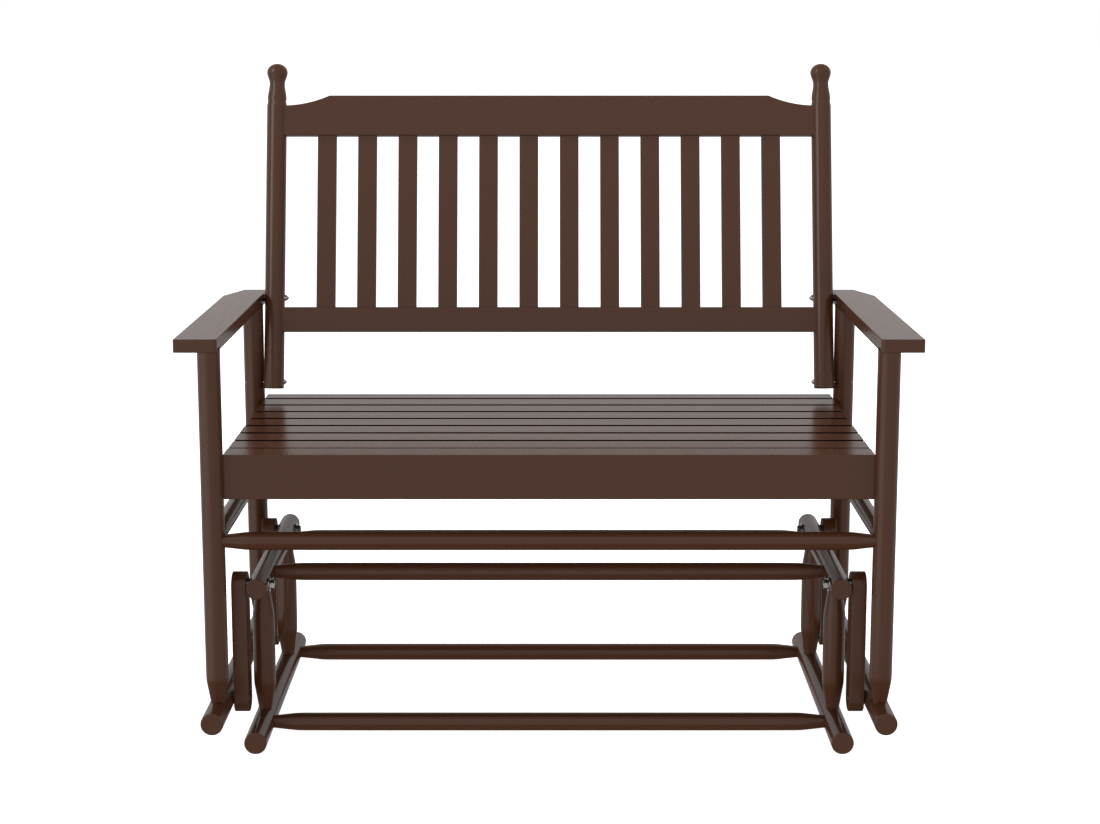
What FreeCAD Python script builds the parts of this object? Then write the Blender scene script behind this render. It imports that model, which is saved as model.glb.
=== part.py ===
import FreeCAD, Part

import math
import os
from collections import namedtuple

from FreeCAD import Vector

# Glider bench of round and flat painted bars: a base that stands on the floor, four hanging links, and a seat
# frame with a leaning back that glides on them. Lengths are in millimetres. +X and the names' "right" are on the
# right of somebody looking at the front, +Y is to the rear and +Z is up. The floor is at Z = 0, and the origin
# is under the middle of the bench.

# Fits
glue_gap = 0.1          # round a tenon or a screw in its hole
end_gap = 1.0           # past the end of a tenon or a screw
butt_gap = 0.3          # between two wooden faces that only lie side by side
run_gap = 0.05          # round a pivot bolt in its bush
side_gap = 0.3          # along a pivot, between the pieces that turn and those that don't
eased = 2.0             # radius of the eased edges of flat pieces
end_chamfer = 1.0       # at the cut end of a round bar

# Base
base_half_width = 443.0     # from the middle to the axis of each side frame
floor_runner_r = 17.0
foot_flat = 0.5             # planed off under the floor runners
floor_runner_length = 488.0
top_rail_r = 16.2
top_rail_length = 394.0
pivot_height = 242.5        # axis of the top rails and of the upper pivots
base_behind = 8.0           # its middle, behind the pivots' middle
leg_r = 17.0
leg_tip_r = 10.4
leg_taper = 40.0
front_leg_behind = 36.0     # the front pivot
rear_leg_ahead = 20.0       # of the rear pivot
leg_tenon = 17.0
base_stretcher_r = 13.8
base_stretcher_tip_r = 9.8
base_stretcher_taper = 35.0
base_stretcher_tenon = 16.0
lower_stretcher_ahead = 18.5    # of the front legs
lower_stretcher_behind = 54.0   # the rear legs
upper_stretcher_inset = 33.5    # from both pairs of legs
tenon_r = 7.5

# Links and pivots
link_drop = 181.5           # from pivot to pivot
link_width = 40.0
link_thickness = 22.5
link_play = 0.75            # between a link and the leg or post beside it
front_pivot_behind = 55.0   # the front posts' axes
rear_pivot_ahead = 62.0     # of the rear posts' axes
recess_r = 10.5
recess_depth = 9.0
bush_r = 8.0
bolt_r = 5.0
thread_r = 4.0
nut_flats = 13.0
nut_height = 6.5
bolt_head_height = 5.3
thread_proud = 2.0
washer_r = 11.8
washer_thickness = 1.6
small_washer_r = 8.6
small_washer_thickness = 1.2
spacer_r = 9.5
spot_depth = 1.0            # of the flat seats cut in round bars
dome_r = 9.5
dome_height = 4.5

# Seat frame
post_r = 17.0
post_tip_r = 11.0
post_taper = 33.0
post_pitch = 436.0
post_tenon = 18.0
arm_tenon_r = 9.0
arm_tenon = 14.0
seat_runner_r = 17.0
seat_runner_overhang = 60.0     # past the posts' axes
seat_stretcher_r = 13.8
seat_stretcher_tip_r = 10.0
seat_stretcher_taper = 31.0
seat_stretcher_tenon = 15.0
seat_stretcher_below = 131.0    # the seat's top
side_stretcher_rise = 2.0       # above the other two
arm_rise = 177.0            # the armrests' tops above the seat's
arm_thickness = 20.0
arm_inside = 15.0           # from the posts' axes to the inner edge
arm_outside = 49.0
arm_front = 18.0            # in front of the front posts' axes
arm_rear = 69.6             # behind the rear posts' axes
arm_corner_x = 25.0         # cut off at the rear outer corner
arm_corner_y = 74.0
arm_small_corner = 4.0      # cut off at the front inner corner

# Seat
seat_height = 457.0
slat_thickness = 15.0
slat_width = 45.0
slat_gap = 10.0
slat_count = 7
seat_front = 2.0            # behind the front posts' axes
front_slat_width = 44.0
front_slat_gap = 5.0
rear_slat_width = 35.0
apron_height = 53.0
apron_thickness = 20.0
bearer_thickness = 22.0
apron_screw_below = 52.0    # the seat's top
apron_screw_inset = 8.0     # behind the front posts' axes
screw_r = 3.0
screw_head_r = 6.2
screw_head_height = 3.6
screw_bite = 3.0            # past the side apron's inner face

# Back
lean = 13.46                # degrees from upright
stile_r = 16.9
stile_gap = 0.5             # from the rear post
stile_clearance = 15.0      # above the seat
stile_foot = 53.5           # below its crossing with the rear post's axis, along the stile
stile_top = 504.5           # above it
ball_r = 17.65
ball_drop = 15.0            # from the top of the finial down to each part of it
neck_r = 13.0
neck_drop = 34.5
swell_r = 16.1
swell_drop = 61.0
groove_r = 15.5
groove_drop = 65.0
shoulder_drop = 72.0
back_rail_thickness = 20.0
back_bottom_rail = 42.7     # its underside above the crossing, along the stile
back_bottom_rail_width = 41.7
back_top_rail = 379.4
back_top_rail_width = 51.5  # at its ends
crest_rise = 17.0
crest_run = 74.0            # length of each hollow curve up to the crest
crest_sag = 5.7             # height of that curve where it is sag_share of the run from the stile
sag_share = 0.56
back_rail_tenon_r = 7.0
back_rail_tenon = 14.0
back_slat_width = 32.0
back_slat_thickness = 12.0
back_slats_each_side = 6
back_slat_edge = 87.1       # from the stiles' axes to the outermost slats' middles
back_slat_tenon = 10.0
back_slat_shoulder = 3.0    # at each side of the tenon
arm_bolt_drop = 8.0         # below the armrest's top
arm_bolt_bite = 28.0
post_bolt_below = 42.0      # below the crossing
stile_bolt_r = 3.0
cap_nut_flats = 9.0
cap_nut_length = 7.5
cap_nut_washer_r = 6.0
cap_nut_washer_thickness = 1.0
carriage_r = 7.0
carriage_height = 3.0

X = Vector(1, 0, 0)
Y = Vector(0, 1, 0)
Z = Vector(0, 0, 1)
SIDES = (("left", -1), ("right", 1))

lean_rad = math.radians(lean)
lean_height = (
    seat_height + stile_clearance + stile_foot * math.cos(lean_rad) + stile_r * math.sin(lean_rad)
)
arm_height = seat_height + arm_rise
apron_screw_height = seat_height - apron_screw_below
seat_stretcher_height = seat_height - seat_stretcher_below
side_stretcher_height = seat_stretcher_height + side_stretcher_rise
floor_runner_z = floor_runner_r - foot_flat
lower_pivot_z = pivot_height - link_drop
link_inner_x = base_half_width + max(leg_r, top_rail_r) + link_play
link_outer_x = link_inner_x + link_thickness
post_x = link_outer_x + link_play + max(post_r, seat_runner_r)
seat_half = post_x - post_r - butt_gap
seat_underside = seat_height - slat_thickness
arm_underside = arm_height - arm_thickness
stile_x = post_x - post_r - stile_gap - stile_r
back_slat_pitch = (stile_x - back_slat_edge) / (back_slats_each_side - 0.5)
seat_depth = (
    front_slat_width + front_slat_gap + slat_count * (slat_width + slat_gap) + rear_slat_width
)

# The bench reaches from the seat runners' front ends to the backs of the finials.
ball_along = stile_top - ball_drop
ball_reach = math.hypot(ball_r * math.cos(lean_rad), ball_drop * math.sin(lean_rad))
rear_reach = post_pitch + ball_along * math.sin(lean_rad) + ball_reach
front_y = (seat_runner_overhang - rear_reach) / 2
rear_y = front_y + post_pitch
pivot_y = {"front": front_y + front_pivot_behind, "rear": rear_y - rear_pivot_ahead}
base_y = (pivot_y["front"] + pivot_y["rear"]) / 2 + base_behind
leg_y = {"front": pivot_y["front"] + front_leg_behind, "rear": pivot_y["rear"] - rear_leg_ahead}

# An end of a turned bar tapers to a tip, goes tip_depth into its socket at that size, and on as a tenon.
End = namedtuple("End", "tip taper tip_depth tenon tenon_length")


def revolve(profile, start, direction):
    """Turn a profile of (distance along the axis, radius) into a solid that begins at start."""
    points = [Vector(0, 0, profile[0][0])]
    for along, radius in profile:
        point = Vector(radius, 0, along)
        if (point - points[-1]).Length > 1e-6:
            points.append(point)
    points.append(Vector(0, 0, profile[-1][0]))
    points.append(points[0])
    solid = Part.Face(Part.makePolygon(points)).revolve(Vector(), Z, 360)
    return stand(solid, start, direction)


def stand(solid, start, direction):
    """Put a solid that is made along +Z at start, pointing along direction."""
    turned = solid.copy()
    turned.Placement = FreeCAD.Placement(start, FreeCAD.Rotation(Z, direction))
    return turned


def tip_depth(host_r, tip_r):
    """How far a tip goes into a round bar so that its whole rim is below the surface."""
    return host_r - math.sqrt(host_r ** 2 - tip_r ** 2) + 0.5


def socket_end(host_r, tip_r, taper, tenon_length):
    """The end of a bar that is let into a round bar."""
    return End(tip_r, taper, tip_depth(host_r, tip_r), tenon_r, tenon_length)


def turned_bar(start, end, radius, first, last):
    """A turned bar whose ends meet the surfaces of its neighbours at start and at end."""
    length = (end - start).Length
    profile = [
        (-first.tenon_length, first.tenon),
        (-first.tip_depth, first.tenon),
        (-first.tip_depth, first.tip),
        (0, first.tip),
        (first.taper, radius),
        (length - last.taper, radius),
        (length, last.tip),
        (length + last.tip_depth, last.tip),
        (length + last.tip_depth, last.tenon),
        (length + last.tenon_length, last.tenon),
    ]
    return revolve(profile, start, end - start)


def socket(mouth, into, end, lead):
    """The tool that cuts the socket for one end of a turned bar, begun lead outside the surface."""
    profile = [
        (-lead, end.tip + glue_gap),
        (end.tip_depth, end.tip + glue_gap),
        (end.tip_depth, end.tenon + glue_gap),
        (end.tenon_length + end_gap, end.tenon + glue_gap),
    ]
    return revolve(profile, mouth, into)


def round_bar(start, end, radius):
    """A plain round bar with its two ends chamfered."""
    length = (end - start).Length
    profile = [
        (0, radius - end_chamfer),
        (end_chamfer, radius),
        (length - end_chamfer, radius),
        (length, radius - end_chamfer),
    ]
    return revolve(profile, start, end - start)


def rod(start, end, radius):
    """A cylinder from start to end."""
    return Part.makeCylinder(radius, (end - start).Length, start, end - start)


def ring(start, end, outer_r, inner_r):
    """A tube from start to end, such as a washer, spacer or bush."""
    return rod(start, end, outer_r).cut(rod(start, end, inner_r))


def hexagon(start, end, flats):
    """A hexagonal prism from start to end, with the given width across flats."""
    corner = flats / math.sqrt(3)
    corners = [
        Vector(corner * math.cos(math.radians(60 * i)), corner * math.sin(math.radians(60 * i)), 0)
        for i in range(7)
    ]
    prism = Part.Face(Part.makePolygon(corners)).extrude(Z * (end - start).Length)
    return stand(prism, start, end - start)


def dome(start, direction, radius, height):
    """A low domed bolt head that rises from start along direction."""
    ball = (radius ** 2 + height ** 2) / (2 * height)
    rim = Vector(radius, 0, 0)
    half_way = math.atan2(radius, ball - height) / 2
    middle = Vector(ball * math.sin(half_way), 0, ball * math.cos(half_way) - ball + height)
    top = Vector(0, 0, height)
    outline = Part.Wire([
        Part.makeLine(Vector(), rim),
        Part.Arc(rim, middle, top).toShape(),
        Part.makeLine(top, Vector()),
    ])
    return stand(Part.Face(outline).revolve(Vector(), Z, 360), start, direction)


def block(x0, x1, y0, y1, z0, z1):
    """A rectangular block between two corners."""
    return Part.makeBox(x1 - x0, y1 - y0, z1 - z0, Vector(x0, y0, z0))


def ease(solid, chosen, radius=eased):
    """Round the chosen edges, by no more than a third of the solid's thinnest side."""
    box = solid.BoundBox
    limit = min(box.XLength, box.YLength, box.ZLength) / 3
    return solid.makeFillet(min(radius, limit), [edge for edge in solid.Edges if chosen(edge)])


def runs_along(axis):
    """A test for straight edges that run along an axis."""
    def test(edge):
        if edge.Curve.TypeId != "Part::GeomLine":
            return False
        return abs(edge.Curve.Direction.dot(axis)) > 0.999
    return test


parts = {}


def keep(name, solids, cutters=()):
    """Cut the holes and store a sub-part. Several solids are kept side by side."""
    solids = solids if isinstance(solids, list) else [solids]
    if cutters:
        solids = [solid.cut(list(cutters)) for solid in solids]
    pieces = [solid for shape in solids for solid in shape.Solids]
    parts[name] = pieces[0] if len(pieces) == 1 else Part.Compound(pieces)


def leaned(shape, above=0.0):
    """Move a piece of the back from upright, where Z = 0 is the crossing, to its place in the bench."""
    placed = shape.copy()
    placed.translate(Vector(0, 0, above))
    placed.rotate(Vector(), X, -lean)
    placed.translate(Vector(0, rear_y, lean_height))
    return placed


def on_stile_axis(height):
    """The Y at which a stile's axis is at a height above the floor."""
    return rear_y + (height - lean_height) * math.tan(lean_rad)


class Side:
    """What one side of the bench shares: its axes, and the points where bars and bolts meet."""

    def __init__(self, name, sign):
        self.name = name
        self.sign = sign
        self.out = X * sign
        self.base_x = sign * base_half_width
        self.post_x = sign * post_x
        self.pivots = pivot_y
        self.legs = leg_y
        self.posts = {"front": front_y, "rear": rear_y}

    def at(self, x, y, z):
        """A point whose X is measured outwards from the middle of the bench."""
        return Vector(self.sign * x, y, z)


# Base: places and ends of its bars

lower_stretcher_y = {
    "front": leg_y["front"] - lower_stretcher_ahead,
    "rear": leg_y["rear"] + lower_stretcher_behind,
}
upper_stretcher_y = {
    "front": leg_y["front"] + upper_stretcher_inset,
    "rear": leg_y["rear"] - upper_stretcher_inset,
}
leg_foot = socket_end(floor_runner_r, leg_tip_r, leg_taper, leg_tenon)
leg_head = socket_end(top_rail_r, leg_tip_r, leg_taper, leg_tenon)
lower_stretcher_end = socket_end(
    floor_runner_r, base_stretcher_tip_r, base_stretcher_taper, base_stretcher_tenon
)
upper_stretcher_end = socket_end(
    top_rail_r, base_stretcher_tip_r, base_stretcher_taper, base_stretcher_tenon
)


def base_side(side):
    """One side frame of the base: floor runner, top rail and two legs."""
    ground = floor_runner_z + floor_runner_r
    ceiling = pivot_height - top_rail_r
    runner_cuts = [
        block(-2 * base_half_width, 2 * base_half_width, base_y - floor_runner_length,
              base_y + floor_runner_length, -floor_runner_r, 0),
    ]
    rail_cuts = []
    for place, y in side.legs.items():
        foot = side.at(base_half_width, y, ground)
        head = side.at(base_half_width, y, ceiling)
        keep(f"base_leg_{place}_{side.name}", turned_bar(foot, head, leg_r, leg_foot, leg_head))
        runner_cuts.append(socket(foot, -Z, leg_foot, floor_runner_r))
        rail_cuts.append(socket(head, Z, leg_head, top_rail_r))
    for y in lower_stretcher_y.values():
        mouth = side.at(base_half_width - floor_runner_r, y, floor_runner_z)
        runner_cuts.append(socket(mouth, side.out, lower_stretcher_end, floor_runner_r))
    for y in upper_stretcher_y.values():
        mouth = side.at(base_half_width - top_rail_r, y, pivot_height)
        rail_cuts.append(socket(mouth, side.out, upper_stretcher_end, top_rail_r))
    for y in side.pivots.values():
        rail_cuts.append(pivot_hole(side, y, base_half_width, pivot_height, top_rail_r, thread_r))
    runner = round_bar(
        Vector(side.base_x, base_y - floor_runner_length / 2, floor_runner_z),
        Vector(side.base_x, base_y + floor_runner_length / 2, floor_runner_z),
        floor_runner_r,
    )
    rail = round_bar(
        Vector(side.base_x, base_y - top_rail_length / 2, pivot_height),
        Vector(side.base_x, base_y + top_rail_length / 2, pivot_height),
        top_rail_r,
    )
    keep(f"base_floor_runner_{side.name}", runner, runner_cuts)
    keep(f"base_top_rail_{side.name}", rail, rail_cuts)


def pivot_hole(side, y, bar_x, z, bar_r, hole_r):
    """The bolt hole across a round bar, with a flat seat at each end of it."""
    inner = bar_x - bar_r
    outer = bar_x + bar_r
    hole = rod(side.at(inner - end_gap, y, z), side.at(outer + end_gap, y, z), hole_r + glue_gap)
    seat_r = washer_r + butt_gap
    inner_seat = rod(side.at(inner - end_gap, y, z), side.at(inner + spot_depth, y, z), seat_r)
    outer_seat = rod(side.at(outer - spot_depth, y, z), side.at(outer + end_gap, y, z), seat_r)
    return hole.fuse([inner_seat, outer_seat])


def base_stretchers():
    """The four bars across the base."""
    for place, y in lower_stretcher_y.items():
        reach = base_half_width - floor_runner_r
        keep(
            f"base_lower_stretcher_{place}",
            turned_bar(Vector(-reach, y, floor_runner_z), Vector(reach, y, floor_runner_z),
                       base_stretcher_r, lower_stretcher_end, lower_stretcher_end),
        )
    for place, y in upper_stretcher_y.items():
        reach = base_half_width - top_rail_r
        keep(
            f"base_upper_stretcher_{place}",
            turned_bar(Vector(-reach, y, pivot_height), Vector(reach, y, pivot_height),
                       base_stretcher_r, upper_stretcher_end, upper_stretcher_end),
        )


# Links, bushes and pivot bolts

bush_length = link_thickness - recess_depth


def link(side, y):
    """A flat link with round ends, bored for its bushes and recessed for a bolt head and a nut."""
    half = link_width / 2
    top = Vector(0, y, pivot_height)
    low = Vector(0, y, lower_pivot_z)
    left_top = top - Y * half
    right_top = top + Y * half
    left_low = low - Y * half
    right_low = low + Y * half
    outline = Part.Wire([
        Part.Arc(left_top, top + Z * half, right_top).toShape(),
        Part.makeLine(right_top, right_low),
        Part.Arc(right_low, low - Z * half, left_low).toShape(),
        Part.makeLine(left_low, left_top),
    ])
    plate = Part.Face(outline).extrude(X * link_thickness)
    plate.translate(X * (link_inner_x if side.sign > 0 else -link_outer_x))
    plate = ease(plate, lambda edge: abs(edge.tangentAt(edge.FirstParameter).x) < 0.1)
    cuts = []
    for z in (pivot_height, lower_pivot_z):
        cuts.append(rod(side.at(link_inner_x - end_gap, y, z), side.at(link_outer_x + end_gap, y, z),
                        bush_r))
    cuts.append(rod(side.at(link_inner_x + bush_length, y, pivot_height),
                    side.at(link_outer_x + end_gap, y, pivot_height), recess_r))
    cuts.append(rod(side.at(link_inner_x - end_gap, y, lower_pivot_z),
                    side.at(link_outer_x - bush_length, y, lower_pivot_z), recess_r))
    return plate.cut(cuts)


def bushes(side, y):
    """The upper and the lower bush of one link."""
    bore = bolt_r + run_gap
    upper = ring(side.at(link_inner_x, y, pivot_height),
                 side.at(link_inner_x + bush_length, y, pivot_height), bush_r, bore)
    lower = ring(side.at(link_outer_x - bush_length, y, lower_pivot_z),
                 side.at(link_outer_x, y, lower_pivot_z), bush_r, bore)
    return [upper, lower]


def upper_pivot(side, y):
    """A shoulder bolt from the link's outer face through the top rail, and its nut and washers."""
    z = pivot_height
    head_x = link_inner_x + bush_length + side_gap
    shoulder_x = link_inner_x - side_gap
    inner_seat = base_half_width - top_rail_r + spot_depth
    outer_seat = base_half_width + top_rail_r - spot_depth
    nut_x = inner_seat - washer_thickness
    tail_x = nut_x - nut_height - thread_proud
    bolt = rod(side.at(tail_x, y, z), side.at(shoulder_x, y, z), thread_r)
    bolt = bolt.fuse([
        rod(side.at(shoulder_x, y, z), side.at(head_x, y, z), bolt_r),
        hexagon(side.at(head_x, y, z), side.at(head_x + bolt_head_height, y, z), nut_flats),
    ]).removeSplitter()
    spacer = ring(side.at(outer_seat, y, z), side.at(shoulder_x, y, z), spacer_r, thread_r + glue_gap)
    washer = ring(side.at(nut_x, y, z), side.at(inner_seat, y, z), washer_r, thread_r + glue_gap)
    return bolt, [nut(side, nut_x - nut_height, nut_x, y, z), spacer, washer]


def lower_pivot(side, y):
    """A bolt from the seat runner's outer side into the link, and its nut, spacer and washer."""
    z = lower_pivot_z
    head_x = post_x + seat_runner_r - spot_depth
    inner_seat = post_x - seat_runner_r + spot_depth
    spacer_end = link_outer_x + side_gap
    shoulder_x = link_outer_x - bush_length - side_gap
    nut_x = shoulder_x - small_washer_thickness
    tail_x = nut_x - nut_height
    bolt = rod(side.at(tail_x, y, z), side.at(shoulder_x, y, z), thread_r)
    bolt = bolt.fuse([
        rod(side.at(shoulder_x, y, z), side.at(head_x, y, z), bolt_r),
        dome(side.at(head_x, y, z), side.out, dome_r, dome_height),
    ]).removeSplitter()
    spacer = ring(side.at(spacer_end, y, z), side.at(inner_seat, y, z), spacer_r, bolt_r + glue_gap)
    washer = ring(side.at(nut_x, y, z), side.at(shoulder_x, y, z), small_washer_r, thread_r + glue_gap)
    return bolt, [nut(side, tail_x, nut_x, y, z), spacer, washer]


def nut(side, near, far, y, z):
    """A hexagonal nut between two distances from the middle of the bench, clear of its bolt."""
    body = hexagon(side.at(near, y, z), side.at(far, y, z), nut_flats)
    return body.cut(rod(side.at(near, y, z), side.at(far, y, z), thread_r + glue_gap))


def linkage():
    """The four links with their bushes, and the pivot bolts that they hang on."""
    upper_bolts, upper_nuts, lower_bolts, lower_nuts = [], [], [], []
    for side in sides:
        for place, y in side.pivots.items():
            keep(f"link_{place}_{side.name}", link(side, y))
            keep(f"link_bushes_{place}_{side.name}", bushes(side, y))
            bolt, others = upper_pivot(side, y)
            upper_bolts.append(bolt)
            upper_nuts.extend(others)
            bolt, others = lower_pivot(side, y)
            lower_bolts.append(bolt)
            lower_nuts.extend(others)
    keep("upper_pivot_bolts", upper_bolts)
    keep("upper_pivot_nuts_and_washers", upper_nuts)
    keep("lower_pivot_bolts", lower_bolts)
    keep("lower_pivot_nuts_and_washers", lower_nuts)


# Seat frame

post_foot = socket_end(seat_runner_r, post_tip_r, post_taper, post_tenon)
post_head = End(post_r, 0, 0, arm_tenon_r, arm_tenon)
long_stretcher_end = socket_end(
    post_r, seat_stretcher_tip_r, seat_stretcher_taper, seat_stretcher_tenon
)
# The side stretchers' tenons stop short of the other stretchers' tenons, which cross them in the posts.
side_stretcher_end = socket_end(
    post_r, seat_stretcher_tip_r, seat_stretcher_taper, post_r - tenon_r - 2 * glue_gap - end_gap
)
runner_top = lower_pivot_z + seat_runner_r

# The screws sit on flats in the posts that reach past their heads on the round surface.
screw_y = {"front": front_y + apron_screw_inset, "rear": rear_y}
screw_seat = math.sqrt(post_r ** 2 - (apron_screw_inset + screw_head_r) ** 2)
screw_tip_x = seat_half - apron_thickness + screw_bite


def apron_screw(side, place):
    """A screw through a post into the seat's apron."""
    y = screw_y[place]
    seat_x = post_x + screw_seat
    shank = rod(side.at(screw_tip_x, y, apron_screw_height), side.at(seat_x, y, apron_screw_height),
                screw_r)
    head = dome(side.at(seat_x, y, apron_screw_height), side.out, screw_head_r, screw_head_height)
    return shank.fuse(head).removeSplitter()


def apron_screw_hole(side, place):
    """The hole for an apron screw, with the flat for its head."""
    y = screw_y[place]
    seat_x = post_x + screw_seat
    outside = side.at(post_x + 2 * post_r, y, apron_screw_height)
    shank = rod(side.at(screw_tip_x - end_gap, y, apron_screw_height), outside, screw_r + glue_gap)
    flat = rod(side.at(seat_x, y, apron_screw_height), outside, screw_head_r + glue_gap)
    return shank.fuse(flat)


def seat_side(side):
    """The posts, the seat runner, the side stretcher and the armrest of one side."""
    stretcher_front = Vector(side.post_x, front_y + post_r, side_stretcher_height)
    stretcher_rear = Vector(side.post_x, rear_y - post_r, side_stretcher_height)
    keep(
        f"side_stretcher_{side.name}",
        turned_bar(stretcher_front, stretcher_rear, seat_stretcher_r, side_stretcher_end,
                   side_stretcher_end),
    )
    runner_cuts = []
    arm_cuts = []
    for place, y in side.posts.items():
        foot = Vector(side.post_x, y, runner_top)
        head = Vector(side.post_x, y, arm_underside)
        long_mouth = side.at(post_x - post_r, y, seat_stretcher_height)
        side_mouth, inwards = {"front": (stretcher_front, -Y), "rear": (stretcher_rear, Y)}[place]
        cuts = [
            socket(long_mouth, side.out, long_stretcher_end, post_r),
            socket(side_mouth, inwards, side_stretcher_end, post_r),
            apron_screw_hole(side, place),
        ]
        if place == "rear":
            cuts.append(post_bolt_hole(side))
        post = turned_bar(foot, head, post_r, post_foot, post_head)
        keep(f"{place}_post_{side.name}", post, cuts)
        runner_cuts.append(socket(foot, -Z, post_foot, seat_runner_r))
        arm_cuts.append(rod(head, head + Z * (arm_tenon + end_gap), arm_tenon_r + glue_gap))
    for y in side.pivots.values():
        runner_cuts.append(pivot_hole(side, y, post_x, lower_pivot_z, seat_runner_r, bolt_r))
    runner = round_bar(
        Vector(side.post_x, front_y - seat_runner_overhang, lower_pivot_z),
        Vector(side.post_x, rear_y + seat_runner_overhang, lower_pivot_z),
        seat_runner_r,
    )
    keep(f"seat_runner_{side.name}", runner, runner_cuts)
    arm_cuts.append(arm_bolt_hole(side))
    keep(f"armrest_{side.name}", armrest(side), arm_cuts)


def armrest(side):
    """A flat armrest with its rear outer corner cut off on the slant and all its edges eased."""
    inner = post_x - arm_inside
    outer = post_x + arm_outside
    front = front_y - arm_front
    rear = rear_y + arm_rear
    corners = [
        side.at(inner + arm_small_corner, front, arm_underside),
        side.at(outer, front, arm_underside),
        side.at(outer, rear - arm_corner_y, arm_underside),
        side.at(outer - arm_corner_x, rear, arm_underside),
        side.at(inner, rear, arm_underside),
        side.at(inner, front + arm_small_corner, arm_underside),
    ]
    board = Part.Face(Part.makePolygon(corners + [corners[0]])).extrude(Z * arm_thickness)
    return ease(board, lambda edge: True)


def seat_stretchers():
    """The bars across the seat frame, in front of the links and behind them."""
    reach = post_x - post_r
    for place, y in (("front", front_y), ("rear", rear_y)):
        start = Vector(-reach, y, seat_stretcher_height)
        end = Vector(reach, y, seat_stretcher_height)
        keep(
            f"{place}_stretcher",
            turned_bar(start, end, seat_stretcher_r, long_stretcher_end, long_stretcher_end),
        )


def seat_aprons():
    """The frame under the seat's slats."""
    top = seat_underside
    low = seat_underside - apron_height
    front = front_y + seat_front
    rear = front + seat_depth
    inside = seat_half - apron_thickness
    holes = [apron_screw_hole(side, place) for side in sides for place in screw_y]
    front_apron = block(-seat_half, seat_half, front, front + apron_thickness, low, top)
    rear_apron = block(-seat_half, seat_half, rear - apron_thickness, rear, low, top)
    for name, apron in (("seat_front_apron", front_apron), ("seat_rear_apron", rear_apron)):
        keep(name, ease(apron, runs_along(X)), holes)
    for side in sides:
        x0, x1 = sorted((side.sign * inside, side.sign * seat_half))
        board = block(x0, x1, front + apron_thickness, rear - apron_thickness, low, top)
        keep(f"seat_side_apron_{side.name}", ease(board, runs_along(Y)), holes)
    half = bearer_thickness / 2
    bearer = block(-half, half, front + apron_thickness, rear - apron_thickness, low, top)
    keep("seat_centre_bearer", ease(bearer, runs_along(Y)))


def seat_slats():
    """The slats across the seat, from the front to the rear."""
    widths = [front_slat_width] + [slat_width] * slat_count + [rear_slat_width]
    gaps = [front_slat_gap] + [slat_gap] * slat_count + [0]
    y = front_y + seat_front
    for number, (width, gap) in enumerate(zip(widths, gaps), 1):
        slat = block(-seat_half, seat_half, y, y + width, seat_underside, seat_height)
        keep(f"seat_slat_{number}", ease(slat, runs_along(X)))
        y += width + gap


# Back. Its pieces are made upright, with Z = 0 where the stiles cross the rear posts, and then leaned.

arm_bolt_z = arm_height - arm_bolt_drop
arm_bolt_y = on_stile_axis(arm_bolt_z)
post_bolt_height = lean_height - post_bolt_below
post_bolt_y = (rear_y + on_stile_axis(post_bolt_height)) / 2
post_bolt_offset = abs(post_bolt_y - on_stile_axis(post_bolt_height)) * math.cos(lean_rad)


def flat_depth(bar_r, offset, seat_r):
    """How deep a flat is cut in a round bar to seat a round thing offset from the bar's axis."""
    return bar_r - math.sqrt(bar_r ** 2 - (offset + seat_r) ** 2)


arm_nut_seat = flat_depth(stile_r, 0, cap_nut_washer_r)
post_nut_seat = flat_depth(stile_r, post_bolt_offset, cap_nut_washer_r)
spacer_seat = flat_depth(stile_r, 0, cap_nut_washer_r)
carriage_seat = flat_depth(post_r, post_bolt_offset, carriage_r)
arm_inner_x = post_x - arm_inside


def post_bolt_hole(side):
    """The hole through a rear post and its stile, with the flat for the bolt's domed head."""
    seat_x = post_x + post_r - carriage_seat
    outside = side.at(post_x + 2 * post_r, post_bolt_y, post_bolt_height)
    shank = rod(side.at(stile_x - 2 * stile_r, post_bolt_y, post_bolt_height), outside,
                stile_bolt_r + glue_gap)
    flat = rod(side.at(seat_x, post_bolt_y, post_bolt_height), outside, carriage_r + glue_gap)
    return shank.fuse(flat)


def arm_bolt_hole(side):
    """The hole from the stile's inner side into the armrest's inner edge."""
    return rod(
        side.at(stile_x - 2 * stile_r, arm_bolt_y, arm_bolt_z),
        side.at(arm_inner_x + arm_bolt_bite + end_gap, arm_bolt_y, arm_bolt_z),
        stile_bolt_r + glue_gap,
    )


def cap_nut(side, seat_x, y, z):
    """A cap nut on a washer, on the inner side of a stile."""
    washer_end = seat_x - cap_nut_washer_thickness
    prism_end = washer_end - cap_nut_length / 2
    washer = ring(side.at(washer_end, y, z), side.at(seat_x, y, z), cap_nut_washer_r,
                  stile_bolt_r + glue_gap)
    body = hexagon(side.at(prism_end, y, z), side.at(washer_end, y, z), cap_nut_flats)
    body = body.fuse(dome(side.at(prism_end, y, z), -side.out, cap_nut_flats / 2, cap_nut_length / 2))
    hollow = rod(side.at(prism_end, y, z), side.at(washer_end, y, z), stile_bolt_r + glue_gap)
    return [body.removeSplitter().cut(hollow), washer]


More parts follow.
